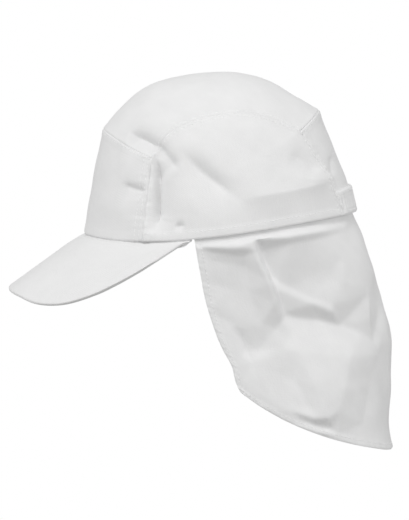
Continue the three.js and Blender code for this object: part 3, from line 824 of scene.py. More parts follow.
# %% The gathered band
BAND_HEIGHT = 21.5
BAND_THICKNESS = 2.6
BAND_END_THICKNESS = 0.8
BAND_STEPS = (0.7, 1.2)  # mm between lines of its grid, along it and up
BAND_ROLL = 0.9  # how far the cloth turns in at the edges
BAND_ROLL_WIDTH = 0.8
BAND_END_ROLL = 0.4  # share of that roll at the thin ends
BAND_ROW = 3.0  # mm from a long edge to its row of stitches
BAND_ROW_DIP = 0.3
BAND_SEAT = 0.35  # how deep its back face is pressed into the soft panel
BAND_END_LENGTH = 7.0  # mm over which the band thins out to its sewn ends
BAND_GATHERS = 24
BAND_GATHER_DEPTH = 1.2
BAND_HELD = 2.6  # mm beside a long edge where no gather sinks
BAND_GATHER_FADE = 5.0  # mm further in, where the gathers reach their depth
BAND_UNEVENNESS = 1.6  # how much the gathers differ in width
BAND_SEED = 3.0


def new_geometry_tree(name, inputs):
    """A Geometry Nodes tree with geometry in and out, and named numbers as its inputs."""
    tree = bpy.data.node_groups.new(name, "GeometryNodeTree")
    tree.interface.new_socket("Geometry", in_out="INPUT", socket_type="NodeSocketGeometry")
    for label, value in inputs.items():
        socket = tree.interface.new_socket(label, in_out="INPUT", socket_type="NodeSocketFloat")
        socket.default_value = value
    tree.interface.new_socket("Geometry", in_out="OUTPUT", socket_type="NodeSocketGeometry")
    return tree, add_node(tree, "NodeGroupInput"), add_node(tree, "NodeGroupOutput")


def gathers_tree(material):
    """Sinks each point along its own direction, least on top of a gather and most between two."""
    defaults = {"Gathers": 20.0, "Depth": 0.001, "Unevenness": 0.5, "Seed": 0.0}
    tree, given, result = new_geometry_tree("gathers", defaults)
    along = add_node(
        tree, "GeometryNodeInputNamedAttribute", {"Name": "along"}, data_type="FLOAT"
    ).outputs["Attribute"]
    sink = add_node(
        tree, "GeometryNodeInputNamedAttribute", {"Name": "sink"}, data_type="FLOAT_VECTOR"
    ).outputs["Attribute"]
    count = add_node(
        tree, "ShaderNodeMath", {0: along, 1: given.outputs["Gathers"]}, operation="MULTIPLY"
    ).outputs["Value"]
    seeded = add_node(
        tree, "ShaderNodeMath", {0: count, 1: given.outputs["Seed"]}, operation="ADD"
    ).outputs["Value"]
    drift = add_node(
        tree, "ShaderNodeTexNoise", {"W": seeded, "Scale": 0.6}, noise_dimensions="1D"
    ).outputs["Fac"]
    uneven = add_node(
        tree, "ShaderNodeMath", {0: drift, 1: given.outputs["Unevenness"]}, operation="MULTIPLY"
    ).outputs["Value"]
    phase = add_node(tree, "ShaderNodeMath", {0: count, 1: uneven}, operation="ADD").outputs["Value"]
    turn = add_node(
        tree, "ShaderNodeMath", {0: phase, 1: math.pi}, operation="MULTIPLY"
    ).outputs["Value"]
    wave = add_node(tree, "ShaderNodeMath", {0: turn}, operation="SINE").outputs["Value"]
    ridge = add_node(tree, "ShaderNodeMath", {0: wave}, operation="ABSOLUTE").outputs["Value"]
    valley = add_node(tree, "ShaderNodeMath", {0: 1.0, 1: ridge}, operation="SUBTRACT").outputs["Value"]
    deep = add_node(
        tree, "ShaderNodeMath", {0: valley, 1: given.outputs["Depth"]}, operation="MULTIPLY"
    ).outputs["Value"]
    offset = add_node(tree, "ShaderNodeVectorMath", {0: sink, "Scale": deep}, operation="SCALE")
    moved = add_node(
        tree,
        "GeometryNodeSetPosition",
        {"Geometry": given.outputs["Geometry"], "Offset": offset.outputs["Vector"]},
    )
    whole = add_node(tree, "GeometryNodeRealizeInstances", {"Geometry": moved.outputs["Geometry"]})
    finished = add_node(
        tree, "GeometryNodeSetMaterial", {"Geometry": whole.outputs["Geometry"], "Material": material}
    )
    tree.links.new(finished.outputs["Geometry"], result.inputs["Geometry"])
    return tree


def run_tree(piece, tree, values):
    """Runs a tree on a piece with these inputs, and keeps what it makes as the piece's plain mesh."""
    modifier = piece.modifiers.new(tree.name, "NODES")
    modifier.node_group = tree
    for item in tree.interface.items_tree:
        if item.in_out == "INPUT" and item.name in values:
            modifier[item.identifier] = values[item.name]
    graph = bpy.context.evaluated_depsgraph_get()
    made = bpy.data.meshes.new_from_object(piece.evaluated_get(graph))
    piece.modifiers.remove(modifier)
    piece.data = made


def add_attribute(mesh, name, kind, values):
    """Stores one value for each point of a mesh."""
    attribute = mesh.attributes.new(name, kind, "POINT")
    attribute.data.foreach_set("vector" if kind == "FLOAT_VECTOR" else "value", np.ravel(values))


def make_band():
    """The strip over the lower edge of the back panel, with attributes that say where it may sink."""
    share_up = BAND_HEIGHT / CROWN_HEIGHT / SECTIONS["back_up"][SEAM_ROW]
    length_u, _ = panel_lengths(back_plan())
    u = spaced(length_u, BAND_STEPS[0])
    v = spaced(BAND_HEIGHT, BAND_STEPS[1])
    disc = back_plan()(u, v * share_up)
    base = smooth_crown(disc[..., 0], disc[..., 1])
    outward = crown_normal(disc[..., 0], disc[..., 1])
    flat = measured(base, outward)
    edge_roll = np.zeros(base.shape[:2])
    for edge in ("bottom", "top", "start", "end"):
        away, _ = flat.from_edge(edge)
        edge_roll -= BAND_ROLL * np.exp(-((away / BAND_ROLL_WIDTH) ** 2))
    for edge in ("bottom", "top"):
        away, _ = flat.from_edge(edge)
        edge_roll -= BAND_ROW_DIP * np.exp(-(((away - BAND_ROW) / STITCH_DIP_WIDTH) ** 2))
    creased = crown_height(base)
    to_start, to_end = (flat.from_edge(edge)[0] for edge in ("start", "end"))
    full = ease(np.minimum(to_start, to_end) / BAND_END_LENGTH)
    thickness = BAND_END_THICKNESS + (BAND_THICKNESS - BAND_END_THICKNESS) * full
    edge_roll *= BAND_END_ROLL + (1 - BAND_END_ROLL) * full
    outer = base + outward * (creased + thickness + edge_roll)[..., None]
    inner = base + outward * (creased - BAND_SEAT)[..., None]
    band = wall_mesh("cap_band", outer, inner, cloth_uv(flat), band_drill)
    from_bottom, from_top = (flat.from_edge(edge)[0] for edge in ("bottom", "top"))
    free = ease((from_bottom - BAND_HELD) / BAND_GATHER_FADE)
    free = free * ease((from_top - BAND_HELD) / BAND_GATHER_FADE)
    along = np.broadcast_to(u[:, None], base.shape[:2])
    sink = (-outward * free[..., None]).reshape(-1, 3)
    still = np.zeros_like(sink)  # the inner face doesn't sink
    add_attribute(band.data, "along", "FLOAT", np.tile(along.ravel(), 2))
    add_attribute(band.data, "sink", "FLOAT_VECTOR", np.concatenate([sink, still]))
    values = {
        "Gathers": float(BAND_GATHERS),
        "Depth": BAND_GATHER_DEPTH * MM,
        "Unevenness": BAND_UNEVENNESS,
        "Seed": BAND_SEED,
    }
    run_tree(band, gathers_tree(band_drill), values)
    report(band)
    return band, measured(outer, grid_outward(outer))


band, band_cloth = make_band()

# %% [markdown]
# The peak is a board between two covers, sewn inside out and turned, so its edge is a smooth roll with
# no binding. It falls forwards in almost straight lines and sits under the crown's rim, in a deep join
# that shows as a dark line. Its thickness is laid on both sides of a middle surface, and runs out to
# nothing at the edge on a quarter circle, which closes it without a seam.

# %% Peak
PEAK_LENGTH = 70.0  # along its middle line, from the rim to the tip
PEAK_SLOPE = math.radians(31.5)
PEAK_HALF_WIDTH = 80.5
PEAK_THICKNESS = 3.2
PEAK_SWELL = 1.3  # how far the top cover swells up in front of the rim
PEAK_SWELL_SHARE = 0.25  # of its reach, over which it swells
PEAK_END_ANGLE = math.radians(77)  # round the rim from the front
PEAK_SHOULDER = 50.0  # forwards to its widest line
PEAK_SQUARENESS = 2.3  # 2 is an ellipse, and more is squarer
PEAK_CLEARANCE = 0.3  # below the rim
PEAK_GRID = (235, 66)  # mm along the rim and outwards that the grid divides
PEAK_STEPS = (1.8, 1.6)  # mm between its lines
PEAK_JOIN_DEPTH = 1.1  # how far the top cover dives where it meets the rim
PEAK_JOIN_WIDTH = 1.6
# How steeply it falls, as shares of the slope, from its middle to its ends
PEAK_FALL_SIDE = [0, 0.47, 0.66, 0.78, 0.86, 0.94, 0.975, 1]
PEAK_FALL_SLOPE = [1, 0.99, 1.07, 1.1, 1.095, 1.03, 0.96, 0.89]
PEAK_LIP = 1.7  # how far inside the rim its seam allowance turns up
PEAK_LIP_HEIGHT = 5.0
PEAK_LIP_WIDTH = 0.15


def peak_outline(x):
    """How far forwards the edge of the peak lies, from the place across."""
    tip = FRONT_REACH + PEAK_LENGTH * math.cos(PEAK_SLOPE)
    rest = 1 - np.minimum(1, np.abs(x) / PEAK_HALF_WIDTH) ** PEAK_SQUARENESS
    return -PEAK_SHOULDER - (tip - PEAK_SHOULDER) * rest ** (1 / PEAK_SQUARENESS)


def peak_top(u, v):
    """Points of the peak's upper face, from the rim at v 0 to the edge at v 1."""
    angle = PEAK_END_ANGLE * (2 * u[:, None] - 1)
    run = v[None, :]
    rim = smooth_crown(np.sin(angle), -np.cos(angle))
    x, y, z = rim[..., 0], rim[..., 1], rim[..., 2]
    away = (y - peak_outline(x)) * run
    share = np.abs(x) / (HALF_WIDTH * math.sin(PEAK_END_ANGLE))
    fall = math.tan(PEAK_SLOPE) * curve_through(PEAK_FALL_SIDE, PEAK_FALL_SLOPE, share)
    swell = PEAK_SWELL * ease(run / PEAK_SWELL_SHARE)
    return np.stack([x + 0 * run, y - away, z - PEAK_CLEARANCE + swell - fall * away], axis=-1)


def make_peak():
    """The board in its covers, thinned to nothing at its edge and dipped at the rim."""
    u, v = (spaced(length, step) for length, step in zip(PEAK_GRID, PEAK_STEPS))
    upper = peak_top(u, v)
    outward = grid_outward(upper[:, ::-1])[:, ::-1]
    flat = measured(upper, outward)
    to_edge = np.minimum.reduce([flat.from_edge(edge)[0] for edge in ("top", "start", "end")])
    half = PEAK_THICKNESS / 2
    roll = half * np.sqrt(1 - (1 - np.clip(to_edge / half, 0, 1)) ** 2)
    from_rim, _ = flat.from_edge("bottom")
    join = PEAK_JOIN_DEPTH * np.exp(-((from_rim / PEAK_JOIN_WIDTH) ** 2))
    waves = gentle_waves(upper, seed=8, length=60, height=0.12)
    middle = upper - outward * half
    outer = middle + outward * (roll + waves * roll / half - join)[..., None]
    inner = middle - outward * roll[..., None]
    angle = PEAK_END_ANGLE * (2 * u[:, None] - 1) + 0 * from_rim
    inwards = np.stack([-np.sin(angle), np.cos(angle), 0 * angle], axis=-1)
    at_rim = np.exp(-((from_rim / PEAK_LIP_WIDTH) ** 2))[..., None]
    turned_up = at_rim * (inwards * PEAK_LIP + [0, 0, PEAK_LIP_HEIGHT])
    peak = wall_mesh("cap_peak", outer + turned_up, inner + turned_up, cloth_uv(flat), peak_drill)
    report(peak)
    return peak


peak = make_peak()

# %% [markdown]
# The flap is one sheet of drill, sewn inside the rim from one ear round the back to the other, with a
# narrow hem on its free edges. It hangs from the rim and was folded flat before, so it carries crisp
# creases that meet in a point on the side. It follows the solid's surface, and its folds lie on that.
#
# It could be draped by a cloth simulation, but its creases are pressed in rather than hung, and the
# real flap's own folds are wanted, so a smooth surface comes first and its folds are laid on it.

# %% Flap surface
FLAP_LENGTH = 179.6  # mm from the rim plane to the hem, at the back
FLAP_SIDE_LENGTH = 116.8  # and at the corners of the hem
FLAP_FLARE = 22.4  # how far it stands out behind the rim
FLAP_WALL = 0.9
FLAP_TUCK = 6.5  # how far its top edge goes up inside the rim
FLAP_END_ANGLE = 78  # degrees round the rim from the front to its front edges
FLAP_INSET = 1.9  # inside the crown's outer face: its wall and a gap
# Shares of the way down, and of the flare or the width reached there
FLAP_BACK_DOWN = [0, 0.09, 0.18, 0.35, 0.5, 0.56, 0.63, 0.77, 0.88, 1]
FLAP_BACK_OUT = [0, 0.26, 0.46, 0.72, 0.93, 1, 0.94, 0.82, 0.77, 0.8]
FLAP_FRONT_DOWN = [0, 0.19, 0.4, 0.61, 0.72, 0.83, 0.93, 1]
FLAP_FRONT_RUN = [0, 0.02, 0.045, 0.098, 0.141, 0.196, 0.215, 0.243]
FLAP_FRONT_IN = [0, 0.01, 0.03, 0.055, 0.07, 0.085, 0.1, 0.105]
# Shares of the way from the back to a front edge, and of the width, reach and drop of the hem there
HEM_ROUND = [0, 0.15, 0.3, 0.45, 0.6, 0.75, 0.88, 1]
HEM_SIDE = [0, 0.26, 0.5, 0.675, 0.785, 0.84, 0.856, 0.855]
HEM_RUN = [1, 0.965, 0.865, 0.71, 0.52, 0.315, 0.145, 0.027]
HEM_DOWN = [1, 0.955, 0.865, 0.75, 0.6, 0.4, 0.19, 0]


def inside_crown(degrees, level, depth):
    """Points under the crown's surface, round the rim from the front."""
    place = on_rim(degrees) * np.asarray(level)[..., None]
    ear, back = place[..., 0], place[..., 1]
    return smooth_crown(ear, back) - crown_normal(ear, back) * depth


def hanging_flap(rounds, down):
    """The flap below the rim. Rounds go from 1 at the left front edge over the back at 0 to -1."""
    away, fall = np.abs(rounds), down[None, :, None]

    def at_top(share):
        degrees = 180 + (FLAP_END_ANGLE - 180) * share
        return inside_crown(degrees, np.ones_like(share), FLAP_INSET)

    top_back, top_front = at_top(np.zeros(1))[0], at_top(np.ones(1))[0]
    hem_back = top_back[1] + FLAP_FLARE * FLAP_BACK_OUT[-1]

    def at_hem(share):
        side, run, low = (curve_through(HEM_ROUND, row, share) for row in (HEM_SIDE, HEM_RUN, HEM_DOWN))
        drop = FLAP_SIDE_LENGTH + (FLAP_LENGTH - FLAP_SIDE_LENGTH) * low
        return np.stack([side * HALF_WIDTH, run * hem_back, -drop], axis=-1)

    def mixed(start, end):
        return start * (1 - down)[:, None] + end * down[:, None]

    out = FLAP_FLARE * curve_through(FLAP_BACK_DOWN, FLAP_BACK_OUT, down)
    back_edge = np.stack(
        [0 * down, top_back[1] + out, top_back[2] * (1 - down) - FLAP_LENGTH * down], axis=-1
    )
    front_edge = np.stack(
        [
            top_front[0] * (1 - curve_through(FLAP_FRONT_DOWN, FLAP_FRONT_IN, down)),
            top_front[1] + BACK_REACH * curve_through(FLAP_FRONT_DOWN, FLAP_FRONT_RUN, down),
            top_front[2] * (1 - down) - FLAP_SIDE_LENGTH * down,
        ],
        axis=-1,
    )
    back_fix = back_edge - mixed(top_back, at_hem(np.zeros(1))[0])
    front_fix = front_edge - mixed(top_front, at_hem(np.ones(1))[0])
    points = at_top(away)[:, None] * (1 - fall) + at_hem(away)[:, None] * fall
    turn = ease(away)[:, None, None]
    points = points + back_fix[None] * (1 - turn) + front_fix[None] * turn
    sides = np.where(rounds < 0, -1, 1)[:, None, None]
    return points * sides ** np.array([1, 0, 0])  # the other side mirrors x alone


print("flap", FLAP_LENGTH, "mm long at the back and", FLAP_SIDE_LENGTH, "mm at the corners")

# %% [markdown]
# Cloth that was folded flat and then hung falls into facets: nearly flat fields that meet in creases, as
# crumpled paper does. Each crease is a line of the side view with a height in millimetres at each of its
# points, outwards if positive. A Delaunay triangulation that keeps to these lines fills the fields
# between them, and a light smoothing rounds each crease to the radius of a real fold.

# %% Creases of the flap
FLAP_EDGES = {
    "rim": [(-40, -4, 0), (-10, -5, 0), (20, -5, 0), (60, -3.5, 0), (100, -1.5, 0), (135, -1, 0)],
    "front edge": [
        (-21, -8, 0), (-19.5, -30, 0), (-15, -57, 0), (-4, -84, 0), (0, -97, 0), (3, -117, 0),
    ],
    "hem": [
        (3, -117, 0), (17, -129, 0), (36, -142, 0), (60, -154, 0), (81, -164, 0), (99, -171, 0),
        (115, -180, 0),
    ],
    "around": [(-40, -4, 0), (-40, -195, 0), (135, -195, 0), (135, -1, 0)],
}
LEFT_FACETS = {
    "strip edge": [(-18, -10.5, 1.4), (-8, -12, 3.0), (4, -13.5, 3.8), (15, -14.5, 4.2)],
    "under the strip": [(-13, -14.5, -0.4), (1, -18, -0.6), (13, -20, -0.8)],
    "pocket in front": [(-12, -21, -1.8), (1, -25, -3.0), (13, -28, -3.6)],
    "field in front": [(-11, -38, -2.8), (2, -44, -4.8), (15, -46, -4.6)],
    "strip edge, behind": [(23, -8.5, 4.0), (44, -10, 4.8), (63, -9, 4.6), (88, -7.5, 1.4)],
    "under the strip, behind": [(27, -12.5, 0.2), (45, -14, 0.4), (63, -13, 0.6), (84, -11, 0.4)],
    "long ridge": [
        (19.5, -9, 4.2), (21, -17, 4.2), (23.6, -25, 4.0), (29.6, -40, 3.0), (33.3, -54.6, 0.8),
        (36, -64, -2.6),
    ],
    "channel": [
        (23.8, -12.5, -2.4), (25.4, -18, -5.4), (28.2, -27, -8.0), (32, -37, -9.0), (33.5, -41.2, -7.6),
    ],
    "lower channel": [(35.6, -48, -6.4), (38, -57, -8.2), (40, -65, -9.2)],
    "above the second ridge": [(37, -41.5, -7.4), (46.5, -47, -6.8), (60, -55.5, -4.6), (74, -62, -1.6)],
    "second ridge": [(34.5, -43.2, -6.6), (43.5, -50.2, -5.4), (59.5, -59, -3.2), (73, -66.5, -0.8)],
    "great crease": [
        (40.5, -67, -9.6), (53.6, -69.5, -10.6), (69, -72.5, -9.8), (83, -77.5, -7.0), (98, -85.5, -4.6),
    ],
    "end of the great crease": [(98, -85.5, -4.6), (106, -93, -4.2), (109, -104, -2.6)],
    "crease to the front": [
        (37, -69, -6.2), (31.8, -74.5, -6.0), (17.5, -89.5, -6.4), (12.5, -97, -4.4),
    ],
    "dent": [(2.5, -70, -5.0), (6.2, -80, -7.0), (8.5, -89, -6.8)],
    "beside the dent": [(-1.5, -72, -2.8), (2.2, -82, -3.0), (5, -92, -2.6)],
    "above the dent": [(12, -74, -4.8), (22, -70, -4.2)],
    "faint crease": [
        (44, -79, -6.8), (47, -92, -2.2), (55, -117, 3.4), (59, -132, 5.0), (62, -141, 5.6),
    ],
    "in front of the faint crease": [(36, -88, -4.4), (42, -112, -1.6), (50, -131, 1.6)],
    "back of the bright field": [(89, -85, -4.2), (83, -100, 1.4), (76, -122, 4.8), (70, -137, 5.0)],
    "shade behind": [(101, -103, -1.6), (98, -126, -1.6), (90, -150, -1.0)],
    "turn above the hem": [(6, -108, -1.4), (19, -121, -0.2), (38, -133.5, 2.0), (54, -140.5, 4.6)],
    "pucker": [(52, -148, 0.8), (60, -151.5, 2.2), (70, -155.5, 0.8)],
    "shade of the pucker": [(52, -145, -0.6), (60, -148, -2.2), (66, -151, -0.2)],
    "upright crease": [(84.3, -14, 0.4), (83.5, -30, 0.4), (82.5, -46, 1.4)],
    "upright ridge": [(102, -58, 0.6), (102, -76, -0.6)],
}
RIGHT_FACETS = {
    "strip edge": [(-16, -11, 1.4), (10, -12.5, 2.6), (46, -10, 2.8), (86, -8, 1.2)],
    "pocket": [(-8, -18, -1.6), (12, -20, -3.2), (44, -18, -3.2), (78, -15, -1.6)],
    "long ridge": [(24, -26, 2.4), (28, -48, 3.6), (34, -74, 3.0), (36, -86, 1.6)],
    "channel": [(32, -28, -2.6), (36, -52, -3.8), (41, -84, -3.4)],
    "great crease": [(41, -84, -3.4), (62, -80, -4.2), (84, -78, -2.4), (104, -80, -0.4)],
    "bulge under it": [(48, -100, 1.4), (68, -98, 3.2), (92, -98, 1.6)],
    "crease to the front": [(34, -90, -0.6), (18, -100, -2.6), (8, -104, -1.0)],
    "faint crease": [(44, -104, 0.2), (50, -124, -0.8), (58, -144, -1.8)],
    "upper field": [(58, -44, 0.8), (76, -52, 1.4)],
    "lower field": [(72, -126, 1.8), (92, -146, 0.8)],
    "front field": [(4, -50, 0.8), (10, -76, 1.4)],
}
# These two lie in the view from behind, and each is a line as on the crown
BACK_FOLDS = [
    {"line": [(-12, -150), (-8, -90), (-10, -30)], "rise": 2.0, "above": 8, "below": 10, "round": 1.6},
    {"line": [(14, -165), (12, -110), (16, -50)], "rise": 1.6, "above": 9, "below": 8, "round": 1.6},
]
WELD = 1e-4  # mm, below which two points of the lines are one
SLIVER = 1e-6  # square mm, below which a triangle has no inside


def facet_height(creases, y, z):
    """Height of the facets between creases, at places of the side view."""
    corners, edges = [], []
    for line in (FLAP_EDGES | creases).values():
        first = len(corners)
        corners += line
        edges += [(first + i, first + i + 1) for i in range(len(line) - 1)]
    flat = [Vector(corner[:2]) for corner in corners]
    places, _, triangles, origins, _, _ = delaunay_2d_cdt(flat, edges, [], 0, WELD)
    heights = [corners[origin[0]][2] if origin else 0.0 for origin in origins]
    height = np.zeros(np.shape(y))
    for a, b, c in triangles:
        (ay, az), (by, bz), (cy, cz) = places[a], places[b], places[c]
        area = (by - ay) * (cz - az) - (cy - ay) * (bz - az)
        if abs(area) < SLIVER:
            continue
        share_b = ((y - ay) * (cz - az) - (cy - ay) * (z - az)) / area
        share_c = ((by - ay) * (z - az) - (y - ay) * (bz - az)) / area
        share_a = 1 - share_b - share_c
        is_inside = (share_a >= 0) & (share_b >= 0) & (share_c >= 0)
        inside_height = share_a * heights[a] + share_b * heights[b] + share_c * heights[c]
        height = np.where(is_inside, inside_height, height)
    return height


def smoothed(grid, passes):
    """A grid of heights with each value drawn towards its neighbours."""
    for _ in range(passes):
        for axis in (0, 1):
            first, last = np.take(grid, [0], axis), np.take(grid, [-1], axis)
            wide = np.concatenate([first, grid, last], axis)
            count = wide.shape[axis]
            before = np.take(wide, range(0, count - 2), axis)
            after = np.take(wide, range(2, count), axis)
            grid = grid / 2 + (before + after) / 4
    return grid


print(len(LEFT_FACETS), "creases on the left of the flap,", len(RIGHT_FACETS), "on the right")

# %% [markdown]
# The sheet's top edge goes up inside the crown, where it is sewn, and its folds begin just below the
# rim, because the seam holds it flat there. A hem is the edge turned under twice, so it stands up a
# little along its row of stitches, and it is a seam with a raised strip like the others.

# %% Flap
FLAP_GRID = (470, 175)  # mm round the flap and down it, as the grid divides them
FLAP_STEP = 1.5
TUCK_ROWS = 5
FREE_BELOW = 3.0  # mm below the rim over which the folds begin
CREASE_SMOOTHING = 2  # passes, each of which rounds a crease by about one step of the grid
BACK_FROM = 40  # mm behind the middle of the rim where the folds of the back begin
BACK_FADE = 30
HEM = {"groove": 0.35, "raised": 0.42, "flat": 4.6, "fade": 1.2, "rows": (4.2,), "pucker": 0.2}
HEM_SEED = 70
HEMMED_EDGES = ("bottom", "start", "end")


def tucked_edge(rounds):
    """Rows of the flap's top edge, from their highest inside the crown to the rim."""
    row_up = SECTIONS["back_up"][-2] * CROWN_HEIGHT
    highest = 1 - (1 - SECTIONS["level"][-2]) * FLAP_TUCK / row_up
    degrees = np.where(rounds < 0, -1, 1) * (180 + (FLAP_END_ANGLE - 180) * np.abs(rounds))
    levels = np.linspace(highest, 1, TUCK_ROWS)
    rows = [inside_crown(degrees, np.full(len(rounds), level), FLAP_INSET) for level in levels]
    return np.stack(rows, axis=1)


def flap_folds(base):
    """Height of the folds over the smooth sheet: facets at the sides, soft folds at the back."""
    x, y, z = base[..., 0], base[..., 1], base[..., 2]
    facets = ease(x / SIDE_FADE) * facet_height(LEFT_FACETS, y, z)
    facets = facets + ease(-x / SIDE_FADE) * facet_height(RIGHT_FACETS, y, z)
    middle = 1 - ease(np.abs(x) / SIDE_FADE)
    behind = folds_height(BACK_FOLDS, x, z) * middle * ease((y - BACK_FROM) / BACK_FADE)
    return smoothed(facets, CREASE_SMOOTHING) + behind


def make_flap():
    """The sheet with its tucked edge, its folds and its hems. Returns the piece and its cloth."""
    rounds = 1 - 2 * spaced(FLAP_GRID[0], FLAP_STEP)
    down = spaced(FLAP_GRID[1], FLAP_STEP)[1:]
    base = np.concatenate([tucked_edge(rounds), hanging_flap(rounds, down)], axis=1)[:, ::-1]
    outward = grid_outward(base)
    flat = measured(base, outward)
    free = ease((flat.from_edge("top")[0] - FLAP_TUCK) / FREE_BELOW)
    swaying = gentle_waves(base, seed=21, length=55, height=0.7)
    rumpled = gentle_waves(base, seed=22, length=18, height=0.16)
    rise = (flap_folds(base) + swaying + rumpled) * free
    hem = np.zeros(base.shape[:2])
    for number, edge in enumerate(HEMMED_EDGES):
        away, along = flat.from_edge(edge)
        hem += seam_height(HEM, away, along, HEM_SEED + number)
    outer = base + outward * (rise + hem * free)[..., None]
    inner = base + outward * (rise - FLAP_WALL)[..., None]
    piece = wall_mesh("cap_flap", outer, inner, cloth_uv(flat), flap_drill)
    report(piece)
    return piece, Cloth(outer, outward, flat.along_u, flat.along_v)


def cloth_area(points):
    """Area of a grid of points in millimetres, in square metres."""
    steps_u = np.diff(points, axis=0)[:, :-1]
    steps_v = np.diff(points, axis=1)[:-1]
    return np.linalg.norm(np.cross(steps_u, steps_v), axis=-1).sum() * MM**2


flap, flap_cloth = make_flap()
print("flap area", round(cloth_area(flap_cloth.points), 4), "square metres")

# %% [markdown]
# Every visible seam is held by topstitching: a lockstitch shows as short, separate beads of thread,
# each a little sunk at its ends. They follow paths over the cloth, and there are hundreds of them, so
# Geometry Nodes lay them: a path is resampled at the stitch pitch, and one low bead is put at each
# point, turned to the path and to the cloth's outward direction.

# %% Stitching
STITCH_PITCH = 3.0  # mm from one stitch to the next
STITCH_LENGTH = 2.5
THREAD_WIDTH = 0.55


def row_along(cloth, edge, distance, trim=1.0):
    """Points and outward directions of a line that keeps a distance from an edge of a cloth."""
    points, outward, away = cloth.points, cloth.outward, cloth.from_edge(edge)[0]
    if edge in ("start", "end"):
        points, outward, away = points.swapaxes(0, 1), outward.swapaxes(0, 1), away.T
    found = []
    for line_points, line_outward, line_away in zip(points, outward, away):
        order = np.argsort(line_away)
        at = [np.interp(distance, line_away[order], line_points[order, k]) for k in range(3)]
        facing = [np.interp(distance, line_away[order], line_outward[order, k]) for k in range(3)]
        found.append(at + facing)
    found = np.array(found)
    length = running_length(found[:, :3], 0)
    kept = (length >= trim) & (length <= length[-1] - trim)
    return found[kept]


def stitches_tree(material):
    """Lays a bead of thread at each pitch of a path, as long and wide as asked."""
    defaults = {"Pitch": 0.003, "Stitch Length": 0.0025, "Thread Width": 0.0005, "Seed": 0.0}
    tree, given, result = new_geometry_tree("stitches", defaults)
    path = add_node(tree, "GeometryNodeMeshToCurve", {"Mesh": given.outputs["Geometry"]})
    marks = add_node(
        tree,
        "GeometryNodeResampleCurve",
        {"Curve": path.outputs["Curve"], "Length": given.outputs["Pitch"]},
        mode="LENGTH",
    )
    bead = add_node(tree, "GeometryNodeMeshUVSphere", {"Segments": 8, "Rings": 5, "Radius": 0.5})
    outward = add_node(
        tree, "GeometryNodeInputNamedAttribute", {"Name": "outward"}, data_type="FLOAT_VECTOR"
    )
    turned = add_node(
        tree,
        "FunctionNodeAxesToRotation",
        {
            "Primary Axis": outward.outputs["Attribute"],
            "Secondary Axis": add_node(tree, "GeometryNodeInputTangent").outputs["Tangent"],
        },
        primary_axis="Z",
        secondary_axis="X",
    )
    uneven = add_node(
        tree,
        "FunctionNodeRandomValue",
        {"Min_001": 0.9, "Max_001": 1.1, "Seed": given.outputs["Seed"]},
        data_type="FLOAT",
    )
    length = add_node(
        tree,
        "ShaderNodeMath",
        {0: given.outputs["Stitch Length"], 1: socket_called(uneven.outputs, "Value_001")},
        operation="MULTIPLY",
    )
    size = add_node(
        tree,
        "ShaderNodeCombineXYZ",
        {
            "X": length.outputs["Value"],
            "Y": given.outputs["Thread Width"],
            "Z": given.outputs["Thread Width"],
        },
    )
    beads = add_node(
        tree,
        "GeometryNodeInstanceOnPoints",
        {
            "Points": marks.outputs["Curve"],
            "Instance": bead.outputs["Mesh"],
            "Rotation": turned.outputs["Rotation"],
            "Scale": size.outputs["Vector"],
        },
    )
    whole = add_node(tree, "GeometryNodeRealizeInstances", {"Geometry": beads.outputs["Instances"]})
    smooth = add_node(tree, "GeometryNodeSetShadeSmooth", {"Geometry": whole.outputs["Geometry"]})
    finished = add_node(
        tree, "GeometryNodeSetMaterial", {"Geometry": smooth.outputs["Geometry"], "Material": material}
    )
    tree.links.new(finished.outputs["Geometry"], result.inputs["Geometry"])
    return tree


stitching = stitches_tree(thread)


def sew(name, rows, pitch=STITCH_PITCH, length=STITCH_LENGTH):
    """Stitches along rows of points, each row with its outward directions, in millimetres."""
    vertices, edges, directions = [], [], []
    for row in rows:
        start = len(vertices)
        vertices += (row[:, :3] * MM).tolist()
        directions += row[:, 3:].tolist()
        edges += [(start + i, start + i + 1) for i in range(len(row) - 1)]
    mesh = bpy.data.meshes.new(name)
    mesh.from_pydata(vertices, edges, [])
    add_attribute(mesh, "outward", "FLOAT_VECTOR", directions)
    piece = add_object(name, mesh)
    values = {"Pitch": pitch * MM, "Stitch Length": length * MM, "Thread Width": THREAD_WIDTH * MM}
    run_tree(piece, stitching, values)
    report(piece)
    return piece


# %% Rows of stitches
# Each row of this table is a cloth, its edge, the seam there, and the mm left free at both ends
CROWN_SEAMS = [
    (front_cloth, "start", FRONT_SIDE, 1),
    (front_cloth, "end", FRONT_SIDE, 1),
    (front_cloth, "top", ROW_BELOW, 8),
    (top_cloth, "start", TWIN, 1),
    (top_cloth, "end", TWIN, 1),
    (left_cloth, "top", TWIN, 1),
    (right_cloth, "top", TWIN, 1),
    (left_cloth, "end", TWIN, 1),
    (right_cloth, "start", TWIN, 1),
    (back_cloth, "start", TWIN, 22),
    (back_cloth, "end", TWIN, 22),
    (back_cloth, "top", ROW_BELOW, 3),
    (left_cloth, "bottom", RIM, 2),
    (right_cloth, "bottom", RIM, 2),
]
crown_rows = [
    row_along(cloth, edge, distance, trim)
    for cloth, edge, seam, trim in CROWN_SEAMS
    for distance in seam["rows"]
]
crown_stitches = sew("cap_stitches", crown_rows)
band_rows = [row_along(band_cloth, edge, BAND_ROW) for edge in ("bottom", "top")]
band_stitches = sew("band_stitches", band_rows)
flap_rows = [row_along(flap_cloth, edge, HEM["rows"][0]) for edge in HEMMED_EDGES]
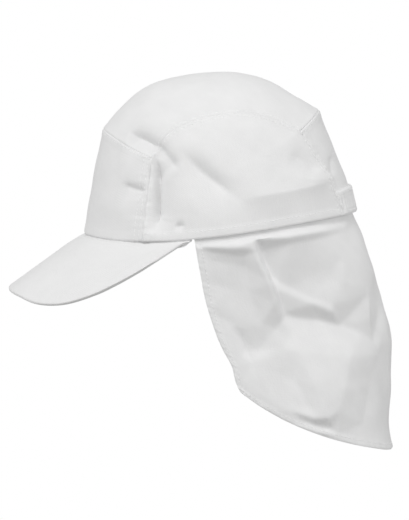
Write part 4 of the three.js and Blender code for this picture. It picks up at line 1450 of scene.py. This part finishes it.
flap_stitches = sew("flap_stitches", flap_rows)

# %% [markdown]
# Two bar tacks lock each end of the band: dense zigzags, 2 mm wide, that stand out as white bars.

# %% Bar tacks
TACK_WIDTH = 2.0
TACK_HEIGHT = 6.5
TACK_STEP = 0.55  # mm from one turn of the zigzag to the next
TACK_INSET = 1.4  # mm from the end of the band
TACK_STARTS = (2.5, 12.5)  # mm up from its lower edge
TACK_PITCH = 1.0
TACK_STITCH = 1.3


def tack_rows(cloth, edge):
    """Zigzags up an end of the band, one for each place where a tack starts."""
    line = row_along(cloth, edge, TACK_INSET, trim=0)
    aside = row_along(cloth, edge, TACK_INSET + TACK_WIDTH, trim=0)
    length = running_length(line[:, :3], 0)
    rows = []
    for start in TACK_STARTS:
        places = np.arange(start, start + TACK_HEIGHT, TACK_STEP)
        near = np.stack([np.interp(places, length, line[:, k]) for k in range(6)], axis=1)
        far = np.stack([np.interp(places, length, aside[:, k]) for k in range(6)], axis=1)
        turns = (np.arange(len(places)) % 2)[:, None]
        rows.append(near * (1 - turns) + far * turns)
    return rows


tacks = tack_rows(band_cloth, "start") + tack_rows(band_cloth, "end")
band_tacks = sew("band_tacks", tacks, pitch=TACK_PITCH, length=TACK_STITCH)

# %% [markdown]
# Every piece now rides on the cap's one body and stands for its solid.

# %% Riding and replacing
STANDS_FOR = {
    front: ("front_panel", "crown_drill"),
    top: ("top_panel", "crown_drill"),
    back: ("back_panel", "crown_drill"),
    left: ("side_panel_left", "crown_drill"),
    right: ("side_panel_right", "crown_drill"),
    band: ("back_band", "band_casing"),
    peak: ("peak", "peak_cover"),
    flap: ("neck_flap", "flap_drill"),
}
for piece, (node, slot) in STANDS_FOR.items():
    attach(piece, "root")
    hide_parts(node)
print(len(STANDS_FOR), "pieces stand for solids")
for piece in (crown_stitches, band_stitches, flap_stitches, band_tacks):
    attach(piece, "root")
